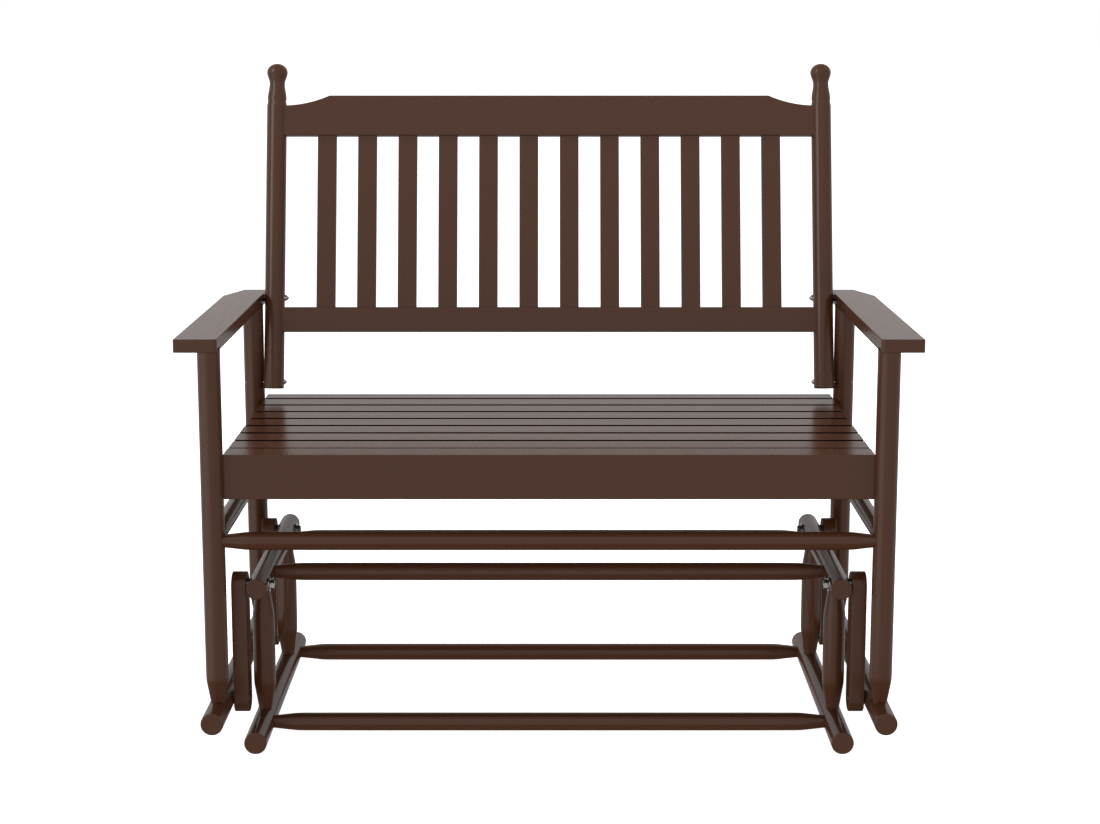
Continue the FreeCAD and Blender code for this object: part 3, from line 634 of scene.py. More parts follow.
@dataclass(frozen=True)
class SemiGlossPaint(Finish):
    """Dark brown semi-gloss paint, sprayed in two coats on turned and planed hardwood.

    The film hides the wood's colour and nearly fills its pores: the eye sees one even brown with a faint
    streak along the grain, and a soft, slightly rippled shine that turns flat tops grey where they mirror the
    studio. Pieces can carry a per-point share of painted shade, which mixes the colour towards near-black
    between the seat slats and over the spacers at the armrests.
    """

    name: ClassVar[str] = "semi_gloss_brown_paint"
    colour: str = "#502F1D"
    streak: str = "#4C2C1B"
    painted_shade: str = "#1C100A"     # near-black painted shade, for the gaps between slats and the spacers at the armrests
    ior: float = 1.36
    roughness: float = 0.22
    roughness_spread: float = 0.02
    streak_mm: tuple[float, float] = (90.0, 3.0)    # along the grain and across it
    pore_mm: tuple[float, float] = (14.0, 0.9)
    ripple_mm: tuple[float, float] = (2.4, 2.4)     # a sprayed film ripples at 1 to 3 mm
    pore_depth_mm: float = 0.0025
    ripple_depth_mm: float = 0.0012

    def inputs(self, tree: bpy.types.NodeTree) -> dict[str | int, object]:
        """Mix the paint from noise that is stretched along each piece's own grain attribute.

        Args:
            tree: Where its nodes go.

        Returns:
            The shader's values and links.
        """
        grain, shade_share = (add_node(tree, "ShaderNodeAttribute", attribute_name=name).outputs[output]
                       for name, output in (("grain", "Vector"), ("painted_shade", "Fac")))
        streaks, pores, ripple = (
            add_node(tree, "ShaderNodeTexNoise", {
                "Vector": add_node(tree, "ShaderNodeMapping", {
                    "Vector": grain, "Scale": (per_metre(length), per_metre(width), per_metre(width)),
                }).outputs["Vector"],
                "Scale": 1.0, "Detail": detail,
            }).outputs["Fac"]
            for (length, width), detail in ((self.streak_mm, 3.0), (self.pore_mm, 2.0), (self.ripple_mm, 1.0))
        )
        colour: object = linear(self.colour)
        # painted shade: the colour is mixed towards near-black by each point's share of it
        for share, other in ((streaks, self.streak), (shade_share, self.painted_shade)):
            colour = add_node(tree, "ShaderNodeMix", {0: share, 6: colour, 7: linear(other)},
                              data_type="RGBA").outputs[2]
        low, high = self.roughness - self.roughness_spread, self.roughness + self.roughness_spread
        roughness = add_node(tree, "ShaderNodeMapRange", {
            "Value": streaks, **NOISE_RANGE, "To Min": low, "To Max": high,
        }).outputs["Result"]
        normal: dict[str | int, object] = {}
        for height, depth in ((pores, self.pore_depth_mm), (ripple, self.ripple_depth_mm)):
            bump = add_node(tree, "ShaderNodeBump", {
                "Height": height, "Distance": depth * MM, "Strength": 1.0, **normal,
            })
            normal = {"Normal": bump.outputs["Normal"]}
        return {"Base Color": colour, "Roughness": roughness, "IOR": self.ior, **normal}


@dataclass(frozen=True)
class BrightZinc(Finish):
    """Bright zinc plating on mild steel bolts, nuts and washers.

    The plated crystals blur its mirror a little and unevenly: the eye sees a pale silver with cloudy lights.
    """

    name: ClassVar[str] = "bright_zinc_plating"
    colour: str = "#A5A39E"
    roughness: float = 0.2
    roughness_spread: float = 0.06
    cloud_mm: float = 3.5
    crystal_mm: float = 0.5         # real crystals are finer, and wouldn't show
    crystal_depth_mm: float = 0.004

    def inputs(self, tree: bpy.types.NodeTree) -> dict[str | int, object]:
        """Make the plating, which reads Object coordinates.

        Args:
            tree: Where its nodes go.

        Returns:
            The shader's values and links.
        """
        place = add_node(tree, "ShaderNodeTexCoord").outputs["Object"]
        clouds, crystals = (
            add_node(tree, "ShaderNodeTexNoise", {
                "Vector": place, "Scale": per_metre(size), "Detail": detail,
            }).outputs["Fac"]
            for size, detail in ((self.cloud_mm, 3.0), (self.crystal_mm, 1.0))
        )
        low, high = self.roughness - self.roughness_spread, self.roughness + self.roughness_spread
        roughness = add_node(tree, "ShaderNodeMapRange", {
            "Value": clouds, **NOISE_RANGE, "To Min": low, "To Max": high,
        })
        plated = add_node(tree, "ShaderNodeBump", {
            "Height": crystals, "Distance": self.crystal_depth_mm * MM, "Strength": 1.0,
        })
        return {"Base Color": linear(self.colour), "Metallic": 1.0, "Roughness": roughness.outputs["Result"],
                "Normal": plated.outputs["Normal"]}


@dataclass(frozen=True)
class MouldedNylon(Finish):
    """Natural nylon, injection moulded, for the bushes in the links.

    It is off-white and waxy: the eye sees a soft edge of light and no clear mirror.
    """

    name: ClassVar[str] = "natural_moulded_nylon"
    colour: str = "#E6E2D4"
    shade: str = "#D9D3C1"
    ior: float = 1.53
    roughness: float = 0.48
    cloud_mm: float = 6.0
    mould_mm: float = 0.8           # spark-eroded mould texture, drawn as coarse as it needs to show
    mould_depth_mm: float = 0.01

    def inputs(self, tree: bpy.types.NodeTree) -> dict[str | int, object]:
        """Make the nylon, which reads Object coordinates.

        Args:
            tree: Where its nodes go.

        Returns:
            The shader's values and links.
        """
        place = add_node(tree, "ShaderNodeTexCoord").outputs["Object"]
        clouds, grit = (
            add_node(tree, "ShaderNodeTexNoise", {
                "Vector": place, "Scale": per_metre(size), "Detail": detail,
            }).outputs["Fac"]
            for size, detail in ((self.cloud_mm, 2.0), (self.mould_mm, 1.0))
        )
        colour = add_node(tree, "ShaderNodeMix", {
            0: clouds, 6: linear(self.colour), 7: linear(self.shade),
        }, data_type="RGBA")
        moulded = add_node(tree, "ShaderNodeBump", {
            "Height": grit, "Distance": self.mould_depth_mm * MM, "Strength": 1.0,
        })
        return {"Base Color": colour.outputs[2], "Roughness": self.roughness, "IOR": self.ior,
                "Normal": moulded.outputs["Normal"]}


@dataclass(frozen=True)
class StudioPaper(Finish):
    """Matt white paper for the floor: it shows nothing but the bench's own soft shade."""

    name: ClassVar[str] = "studio_paper"
    colour: str = "#F7F7F6"
    glow: float = 0.9               # the paper is lit from beneath too, so that it burns out to white

    def inputs(self, tree: bpy.types.NodeTree) -> dict[str | int, object]:
        """Return the shader's values, which need no nodes."""
        return {"Base Color": linear(self.colour), "Roughness": 1.0, "Specular IOR Level": 0.0,
                "Emission Color": WHITE, "Emission Strength": self.glow}


# Pieces


@dataclass(frozen=True)
class Lean:
    """How the back leans: turned about X and carried to where its stiles cross the rear posts."""

    angle: float = math.radians(13.46)
    y: float = 182.272
    z: float = 527.964

    def applied(self, points: Array) -> Array:
        """Turn and carry points that are upright, with the crossing at z = 0.

        Args:
            points: The upright points.

        Returns:
            The points in their place in the bench.
        """
        cosine, sine = math.cos(self.angle), math.sin(self.angle)
        x, y, z = points.T
        return np.stack([x, self.y + y * cosine + z * sine, self.z - y * sine + z * cosine], -1)

    def axis_y(self, height: float) -> float:
        """Return the y of a stile's axis at a height above the floor."""
        return self.y + (height - self.z) * math.tan(self.angle)


LEAN = Lean()
SIDES: tuple[tuple[str, int], ...] = (("left", -1), ("right", 1))


class Workshop:
    """Makes Blender objects of surfaces, finishes them and hangs them on the bench's bodies."""

    def __init__(self) -> None:
        """Mix the finishes."""
        self.random = np.random.default_rng(SEED)
        finishes = {Slot.WOOD: SemiGlossPaint(), Slot.STEEL: BrightZinc(), Slot.NYLON: MouldedNylon()}
        self.material = {slot: finish.material() for slot, finish in finishes.items()}

    def add(self, name: str, surface: Surface, body: str, node: str, slot: Slot = Slot.WOOD,
            grain: Axis = Axis.X, lean: Lean | None = None, painted_shade: Array | None = None) -> None:
        """Add a piece to the bench.

        Args:
            name: Of the piece.
            surface: Its shape, upright where it leans.
            body: The body that it rides on.
            node: The CAD node that it stands for.
            slot: The record's slot for its finish.
            grain: Which way its grain runs.
            lean: How it leans, if it does.
            painted_shade: Where near-black painted shade darkens it, as a share from 0 to 1 for each point.
        """
        mesh = bpy.data.meshes.new(name)
        placed = lean.applied(surface.points) if lean else surface.points
        mesh.from_pydata((placed * MM).tolist(), [], surface.faces)
        place_in_wood = self.random.uniform(-GRAIN_REACH, GRAIN_REACH, 3)
        wood = surface.points[:, list(grain.value)] * MM + place_in_wood
        attribute = mesh.attributes.new("grain", "FLOAT_VECTOR", "POINT")
        attribute.data.foreach_set("vector", wood.astype(np.float32).ravel())
        # painted shade, kept on the points for the paint to mix in
        if painted_shade is not None:
            attribute = mesh.attributes.new("painted_shade", "FLOAT", "POINT")
            attribute.data.foreach_set("value", painted_shade.astype(np.float32))
        self.clean(mesh)
        mesh.materials.append(self.material[slot])
        piece = bpy.data.objects.new(name, mesh)
        bpy.context.scene.collection.objects.link(piece)
        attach(piece, body)
        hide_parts(node)
        log.info("%s: %d faces on %s", name, len(mesh.polygons), body)

    @staticmethod
    def clean(mesh: bpy.types.Mesh) -> None:
        """Weld a mesh's seams, turn its faces outwards and shade it smooth between sharp edges.

        Args:
            mesh: The mesh, which is changed.
        """
        work = bmesh.new()
        work.from_mesh(mesh)
        bmesh.ops.remove_doubles(work, verts=work.verts, dist=WELD * MM)
        bmesh.ops.recalc_face_normals(work, faces=work.faces)
        if work.calc_volume(signed=True) < 0.0:     # the recalculation can leave a piece inside out
            bmesh.ops.reverse_faces(work, faces=work.faces)
        work.to_mesh(mesh)
        work.free()
        mesh.shade_smooth()
        mesh.set_sharp_from_angle(angle=SHARP_ANGLE)


# The bench


@dataclass
class Base:
    """What stands on the floor: two side frames of round bars, and four stretchers between them."""

    half_width: float = 443.0
    middle_y: float = -31.228
    runner_r: float = 17.0
    runner_z: float = 16.5
    runner_length: float = 488.0
    rail_r: float = 16.2
    rail_z: float = 242.5
    rail_length: float = 394.0
    leg_r: float = 17.0
    leg_end: TurnedEnd = TurnedEnd(10.4, 40.0, 5.0)
    stretcher_r: float = 13.8
    stretcher_end: TurnedEnd = TurnedEnd(9.8, 35.0, 5.0)
    ease: float = 1.6
    leg_y: dict[str, float] = field(default_factory=lambda: {"front": -162.728, "rear": 100.272})
    lower_y: dict[str, float] = field(default_factory=lambda: {"front": -181.228, "rear": 154.272})
    upper_y: dict[str, float] = field(default_factory=lambda: {"front": -129.228, "rear": 66.772})

    def bar(self, x: float, z: float, radius: float, length: float) -> Surface:
        """Return a round bar that runs from front to rear."""
        ends = [(x, self.middle_y + share * length, z) for share in (-0.5, 0.5)]
        return round_bar(*ends, radius, self.ease)

    def build(self, shop: Workshop) -> None:
        """Make the base's pieces.

        Args:
            shop: Where they are made.
        """
        for side, sign in SIDES:
            x = sign * self.half_width
            runner = self.bar(x, self.runner_z, self.runner_r, self.runner_length)
            runner.points[:, 2] = np.maximum(runner.points[:, 2], 0.0)      # planed flat where it lies
            rail = self.bar(x, self.rail_z, self.rail_r, self.rail_length)
            for name, bar in (("floor_runner", runner), ("top_rail", rail)):
                shop.add(f"painted_{name}_{side}", bar, "base", f"base_{name}_{side}", grain=Axis.Y)
            for place, y in self.leg_y.items():
                leg = turned_bar((x, y, self.runner_z + self.runner_r), (x, y, self.rail_z - self.rail_r),
                                 self.leg_r, self.leg_end)
                shop.add(f"turned_leg_{place}_{side}", leg, "base", f"base_leg_{place}_{side}", grain=Axis.Z)
        for level, places, z, host_r in (("lower", self.lower_y, self.runner_z, self.runner_r),
                                         ("upper", self.upper_y, self.rail_z, self.rail_r)):
            reach = self.half_width - host_r
            for place, y in places.items():
                stretcher = turned_bar((-reach, y, z), (reach, y, z), self.stretcher_r, self.stretcher_end)
                shop.add(f"turned_{level}_stretcher_{place}", stretcher, "base",
                         f"base_{level}_stretcher_{place}")


@dataclass
class Linkage:
    """The four links that the seat hangs on, with their bushes, pivot bolts, nuts and washers."""

    inner_x: float = 460.75
    thickness: float = 22.5
    half_width: float = 20.0
    upper_z: float = 242.5
    lower_z: float = 61.0
    ease: float = 1.1
    bush_r: float = 8.0
    bush_bore: float = 5.05
    bush_ease: float = 0.4
    bush_bite: float = 0.2          # the links' holes are this much tighter than the bushes: no slit shows
    recess_r: float = 10.5
    recess_depth: float = 9.0
    recess_rim: float = 0.5
    rail_x: float = 443.0
    rail_r: float = 16.2
    post_x: float = 501.0
    runner_r: float = 17.0
    side_gap: float = 0.3
    spot_depth: float = 1.0         # how deep washers and heads are let into the round bars
    shank_r: float = 4.0
    neck_r: float = 5.0             # of the bolts inside the bushes
    tail_cut: float = 0.7           # off the ends of the upper bolts
    head_bite: float = 1.0          # how far their shanks go on into their heads
    nut: Hexagon = Hexagon(13.0, 6.5, 4.1)
    sunk_head: Hexagon = Hexagon(13.0, 5.3, 0.0)
    domed_head: DomedHead = DomedHead(9.5, 4.5, 5.0, 2.6)
    tail: float = 0.6               # of an upper bolt past its nut
    spacer_r: float = 9.5
    upper_washer: tuple[float, float] = (11.8, 1.6)     # (radius, thickness)
    lower_washer: tuple[float, float] = (8.6, 1.2)
    side_rings: tuple[float, ...] = (6.0, 14.0, 28.0, 55.0)     # of points on a link's sides, below a pivot
    arc_points: int = 37            # round each of its ends
    pivot_y: dict[str, float] = field(default_factory=lambda: {"front": -198.728, "rear": 120.272})

    @property
    def outer_x(self) -> float:
        """Return where the links' outer faces are."""
        return self.inner_x + self.thickness

    @property
    def half_span(self) -> float:
        """Return half the distance between a link's pivots."""
        return (self.upper_z - self.lower_z) / 2.0

    def upper_edge(self) -> Outline:
        """Work out the edge of a link's upper half: up one side, over the half circle and down the other.

        Returns:
            An open outline of (y, z) from the link's middle.
        """
        down = self.half_span - np.array([*self.side_rings, self.half_span])
        turn = np.linspace(0.0, math.pi, self.arc_points)
        side = np.tile([1.0, 0.0], (len(down), 1))
        outward = np.concatenate([side, np.stack([np.cos(turn), np.sin(turn)], -1), -side])
        points = self.half_width * outward + (0.0, self.half_span)
        points[:len(down), 1] = down[::-1]
        points[-len(down):, 1] = down
        return Outline(points, outward)

    def half_link(self, recess_inside: bool) -> Surface:
        """Make the faces and the bore of an upper half: its edge is carried to the bore, through it and back.

        Args:
            recess_inside: Whether the wide part of the bore opens at the inner face.

        Returns:
            An open surface about the link's middle, with x from the inner face.
        """
        edge = self.upper_edge()
        middle_line = np.array([[-0.5, 0.0], [0.0, 0.0], [0.5, 0.0]]) * self.half_width
        boundary = np.concatenate([edge.points - (self.ease + FLAT) * edge.outward, middle_line])
        centre = np.array([0.0, self.half_span])
        from_pivot = boundary - centre
        unit = from_pivot / np.linalg.norm(from_pivot, axis=1, keepdims=True)
        wide, hole = self.recess_r, self.bush_r - self.bush_bite
        floor, full = self.thickness - self.recess_depth, self.thickness
        bore = [(full, wide + self.recess_rim), (full - self.recess_rim, wide), (floor, wide), (floor, hole),
                (0.0, hole)]
        rows = [(full, boundary)] + [(x, centre + radius * unit) for x, radius in bore] + [(0.0, boundary)]
        loops = np.stack([np.column_stack([np.full(len(points), x), points]) for x, points in rows])
        if recess_inside:
            loops[..., 0] = full - loops[..., 0]
        skin = carried(loops)
        return Surface(skin.points, skin.faces[:-2])

    def link(self, line: Across) -> Surface:
        """Make a link: two halves with their bores, and an eased edge carried round the outline.

        Args:
            line: Of its upper pivot.

        Returns:
            The link.
        """
        upper, lower = self.half_link(recess_inside=False), self.half_link(recess_inside=True)
        lower = Surface(lower.points * (1.0, 1.0, -1.0), lower.faces)
        edge = self.upper_edge()
        points, outward = (np.concatenate([half, (half * (1.0, -1.0))[-2:0:-1]])
                           for half in (edge.points, edge.outward))
        rim = Outline(points, outward).stacked(eased_edge(self.ease, self.thickness)).reordered((2, 0, 1))
        whole = joined([upper, lower, Surface(rim.points, rim.faces[:-2])])
        placed = whole.moved((self.inner_x, 0.0, (self.upper_z + self.lower_z) / 2.0))
        return Surface(placed.points * (line.sign, 1.0, 1.0), placed.faces).moved((0.0, line.y, 0.0))

    def bushes(self, upper: Across, lower: Across) -> Surface:
        """Make a link's two bushes, each from a face of the link to the floor of the recess.

        Args:
            upper: Line of the link's upper pivot.
            lower: Line of its lower pivot.

        Returns:
            Both bushes.
        """
        length = self.thickness - self.recess_depth
        spans = ((upper, self.inner_x, self.inner_x + length), (lower, self.outer_x - length, self.outer_x))
        return joined([line.ring(near, far, self.bush_r, self.bush_bore, self.bush_ease)
                       for line, near, far in spans])

    def upper_pivot(self, line: Across) -> tuple[Surface, Surface]:
        """Make an upper pivot bolt, which is let into the link's outer face.

        Args:
            line: Of the pivot.

        Returns:
            The bolt, and its nut, spacer and washer.
        """
        head_x = self.outer_x - self.recess_depth + self.side_gap
        shoulder_x = self.inner_x - self.side_gap
        inner_seat = self.rail_x - self.rail_r + self.spot_depth
        outer_seat = self.rail_x + self.rail_r - self.spot_depth
        washer_r, washer_thickness = self.upper_washer
        nut_x = inner_seat - washer_thickness
        tail_x = nut_x - self.nut.height - self.tail
        neck = shoulder_x - tail_x
        shank = np.array([
            [0.0, self.shank_r - self.tail_cut], [self.tail_cut, self.shank_r], [neck, self.shank_r],
            [neck, self.neck_r], [head_x - tail_x + self.head_bite, self.neck_r],
        ])
        bolt = joined([turned(shank, line.at(tail_x), line.outwards),
                       self.sunk_head.surface(line.at(head_x), line.outwards)])
        hole = self.shank_r + PLAY
        rest = joined([
            self.nut.surface(line.at(nut_x - self.nut.height), line.outwards),
            line.ring(outer_seat, shoulder_x, self.spacer_r, hole),
            line.ring(nut_x, inner_seat, washer_r, hole),
        ])
        return bolt, rest

    def lower_pivot(self, line: Across) -> tuple[Surface, Surface]:
        """Make a lower pivot bolt, whose domed head is outside the seat runner.

        Args:
            line: Of the pivot.

        Returns:
            The bolt, and its nut, spacer and washer.
        """
        head_x = self.post_x + self.runner_r - self.spot_depth
        inner_seat = self.post_x - self.runner_r + self.spot_depth
        shoulder_x = self.inner_x + self.recess_depth - self.side_gap
        washer_r, washer_thickness = self.lower_washer
        nut_x = shoulder_x - washer_thickness
        tail_x = nut_x - self.nut.height
        bolt = self.domed_head.bolt(line.at(tail_x), line.at(head_x),
                                    [(0.0, self.shank_r), (shoulder_x - tail_x, self.neck_r)])
        rest = joined([
            self.nut.surface(line.at(tail_x), line.outwards),
            line.ring(self.outer_x + self.side_gap, inner_seat, self.spacer_r, self.neck_r + PLAY),
            line.ring(nut_x, shoulder_x, washer_r, self.shank_r + PLAY, THIN_EDGE),
        ])
        return bolt, rest

    def build(self, shop: Workshop) -> None:
        """Make the linkage's pieces.

        Args:
            shop: Where they are made.
        """
        pivots: dict[str, list[tuple[Surface, Surface]]] = {"upper": [], "lower": []}
        for side, sign in SIDES:
            for place, y in self.pivot_y.items():
                upper, lower = Across(sign, y, self.upper_z), Across(sign, y, self.lower_z)
                body = f"link_{place}_{side}"
                shop.add(f"painted_link_{place}_{side}", self.link(upper), body, body, grain=Axis.Z)
                shop.add(f"moulded_bushes_{place}_{side}", self.bushes(upper, lower), body,
                         f"link_bushes_{place}_{side}", Slot.NYLON)
                pivots["upper"].append(self.upper_pivot(upper))
                pivots["lower"].append(self.lower_pivot(lower))
        for level, body in (("upper", "base"), ("lower", "seat")):
            bolts, rests = (joined(parts) for parts in zip(*pivots[level]))
            shop.add(f"plated_{level}_pivot_bolts", bolts, body, f"{level}_pivot_bolts", Slot.STEEL)
            shop.add(f"plated_{level}_pivot_nuts", rests, body, f"{level}_pivot_nuts_and_washers", Slot.STEEL)


@dataclass
class SeatFrame:
    """The posts, runners, stretchers, armrests and aprons that carry the seat."""

    post_x: float = 501.0
    front_y: float = -253.728
    rear_y: float = 182.272
    post_r: float = 17.0
    runner_r: float = 17.0
    runner_z: float = 61.0
    runner_ease: float = 1.6
    overhang: float = 60.0
    post_foot: TurnedEnd = TurnedEnd(11.0, 33.0, 5.0)
    post_head: TurnedEnd = TurnedEnd(17.0, 0.0, 2.0)
    stretcher_r: float = 13.8
    stretcher_end: TurnedEnd = TurnedEnd(10.0, 31.0, 5.0)
    stretcher_z: float = 326.0
    side_stretcher_z: float = 328.0
    arm_top: float = 634.0
    arm_thickness: float = 20.0
    arm_inside: float = 15.0
    arm_outside: float = 49.0
    arm_front: float = 18.0
    arm_rear: float = 69.6
    arm_corner: tuple[float, float] = (25.0, 74.0)
    arm_small_corner: float = 4.0
    arm_corner_r: float = 1.6
    seat_half: float = 483.7
    apron_front: float = -251.728
    apron_rear: float = 217.272
    apron_top: float = 442.0
    apron_height: float = 53.0
    apron_thickness: float = 20.0
    apron_bite: float = 0.8         # how far the cross aprons go into the posts
    apron_let_in: float = 1.0       # how far the long ones go into the cross aprons
    bearer_thickness: float = 22.0
    ease: float = 1.0
    square: float = 0.1             # upper edges of the aprons, under the slats
    screw: DomedHead = DomedHead(6.2, 3.6, 3.0, 1.8)
    screw_r: float = 3.0
    screw_z: float = 405.0
    screw_behind: float = 8.0       # the axis of the front posts
    screw_tail: float = 466.7
    screw_seat: float = 9.347       # from a post's axis out to the flat under the screw's head

    @property
    def arm_underside(self) -> float:
        """Return the height of the armrests' lower faces."""
        return self.arm_top - self.arm_thickness

    def armrest(self, sign: int) -> Surface:
        """Make a flat armrest with its rear outer corner cut off on the slant.

        Args:
            sign: -1 for the left side and 1 for the right.

        Returns:
            The armrest.
        """
        inner, outer = self.post_x - self.arm_inside, self.post_x + self.arm_outside
        front, rear = self.front_y - self.arm_front, self.rear_y + self.arm_rear
        corner_x, corner_y = self.arm_corner
        small = self.arm_small_corner
        corners = np.array([
            [inner + small, front], [outer, front], [outer, rear - corner_y], [outer - corner_x, rear],
            [inner, rear], [inner, front + small],
        ])
        if sign < 0:
            corners = (corners * (-1.0, 1.0))[::-1]
        arm = rounded(corners, self.arm_corner_r).stacked(eased_edge(self.ease, self.arm_thickness))
        return arm.moved((0.0, 0.0, self.arm_underside))

    def apron(self, low: float, high: float, along: Axis) -> Surface:
        """Make an apron or bearer: across the seat, or from the front apron to the rear one.

        Args:
            low: Where its one face is.
            high: Where its other face is.
            along: The axis that it runs along.

        Returns:
            The board.
        """
        section = rectangle(low, high, self.apron_top - self.apron_height, self.apron_top,
                            (self.ease, self.ease, self.square, self.square))
        if along is Axis.X:
            reach = self.seat_half + self.apron_bite
            return lath(section, -reach, reach, along)
        inset = self.apron_thickness - self.apron_let_in
        return lath(section, self.apron_front + inset, self.apron_rear - inset, along)

    def build_side(self, shop: Workshop, side: str, sign: int) -> None:
        """Make the posts, runner, stretcher, armrest and apron of one side.

        Args:
            shop: Where they are made.
            side: Name of the side.
            sign: -1 for the left side and 1 for the right.
        """
        x = sign * self.post_x
        for place, y in (("front", self.front_y), ("rear", self.rear_y)):
            post = turned_bar((x, y, self.runner_z + self.runner_r), (x, y, self.arm_underside), self.post_r,
                              self.post_foot, self.post_head)
            shop.add(f"turned_{place}_post_{side}", post, "seat", f"{place}_post_{side}", grain=Axis.Z)
        runner = round_bar((x, self.front_y - self.overhang, self.runner_z),
                           (x, self.rear_y + self.overhang, self.runner_z), self.runner_r, self.runner_ease)
        stretcher = turned_bar((x, self.front_y + self.post_r, self.side_stretcher_z),
                               (x, self.rear_y - self.post_r, self.side_stretcher_z), self.stretcher_r,
                               self.stretcher_end)
        outer = sign * self.seat_half
        apron = self.apron(*sorted((outer - sign * self.apron_thickness, outer)), Axis.Y)
        for name, surface, node in (
            (f"painted_seat_runner_{side}", runner, f"seat_runner_{side}"),
            (f"turned_side_stretcher_{side}", stretcher, f"side_stretcher_{side}"),
            (f"painted_armrest_{side}", self.armrest(sign), f"armrest_{side}"),
            (f"painted_side_apron_{side}", apron, f"seat_side_apron_{side}"),
        ):
            shop.add(name, surface, "seat", node, grain=Axis.Y)

    def build(self, shop: Workshop) -> None:
        """Make the seat frame's pieces.

        Args:
            shop: Where they are made.
        """
        for side, sign in SIDES:
            self.build_side(shop, side, sign)
        reach = self.post_x - self.post_r
        for place, y in (("front", self.front_y), ("rear", self.rear_y)):
            stretcher = turned_bar((-reach, y, self.stretcher_z), (reach, y, self.stretcher_z),
                                   self.stretcher_r, self.stretcher_end)
            shop.add(f"turned_{place}_stretcher", stretcher, "seat", f"{place}_stretcher")
        front, rear, thick = self.apron_front, self.apron_rear, self.apron_thickness
        for place, y0, y1 in (("front", front, front + thick), ("rear", rear - thick, rear)):
            shop.add(f"painted_{place}_apron", self.apron(y0, y1, Axis.X), "seat", f"seat_{place}_apron")
        half = self.bearer_thickness / 2.0
        shop.add("painted_centre_bearer", self.apron(-half, half, Axis.Y), "seat", "seat_centre_bearer",
                 grain=Axis.Y)
        lines = [Across(sign, y, self.screw_z)
                 for _, sign in SIDES for y in (self.front_y + self.screw_behind, self.rear_y)]
        screws = [self.screw.bolt(line.at(self.screw_tail), line.at(self.post_x + self.screw_seat),
                                  [(0.0, self.screw_r)]) for line in lines]
        shop.add("plated_frame_screws", joined(screws), "seat", "seat_frame_screws", Slot.STEEL)


@dataclass
class Seat:
    """The nine slats of the seat, from the front to the rear."""

    half: float = 483.7
    front_y: float = -251.728
    underside: float = 442.0
    thickness: float = 15.0
    ease: float = 0.2
    square: float = 0.1             # the front slat is planed flush with the front apron
    bite: float = 0.8               # how far the front slat goes into the posts
    widths: tuple[float, ...] = (44.0,) + (45.0,) * 7 + (35.0,)
    gaps: tuple[float, ...] = (5.0,) + (10.0,) * 7 + (0.0,)

    def in_gap(self, points: Array, sides: Sequence[float], reach: float) -> Array:
        """Find a slat's points for painted shade: on its long sides in a gap, below the eased edges and short
        of the ends.

        Args:
            points: Of the slat.
            sides: Y of its long sides that face a gap.
            reach: From the bench's middle to each end.

        Returns:
            True for each such point.
        """
        deep = points[:, 2] < self.underside + self.thickness - self.ease / 2.0
        inside = np.abs(points[:, 0]) < reach - SAWN / 10.0
        on_side = np.any([np.abs(points[:, 1] - side) < self.ease / 2.0 for side in sides], axis=0)
        return deep & inside & on_side

    def build(self, shop: Workshop) -> None:
        """Make the slats.

        Args:
            shop: Where they are made.
        """
        steps = np.array(self.widths) + np.array(self.gaps)
        starts = self.front_y + np.concatenate([[0.0], np.cumsum(steps)[:-1]])
        for number, (start, width) in enumerate(zip(starts, self.widths), 1):
            is_first, is_last = number == 1, number == len(starts)
            radii = (self.square if is_first else self.ease, self.ease, self.ease, self.ease)
            section = rectangle(start, start + width, self.underside, self.underside + self.thickness, radii)
            reach = self.half + (self.bite if is_first else 0.0)
            slat = lath(section, -reach, reach, Axis.X)
            sides = ([] if is_first else [start]) + ([] if is_last else [start + width])
            # the slats' sides inside the gaps are painted in near-black painted shade
            shop.add(f"painted_seat_slat_{number}", slat, "seat", f"seat_slat_{number}",
                     painted_shade=self.in_gap(slat.points, sides, reach))


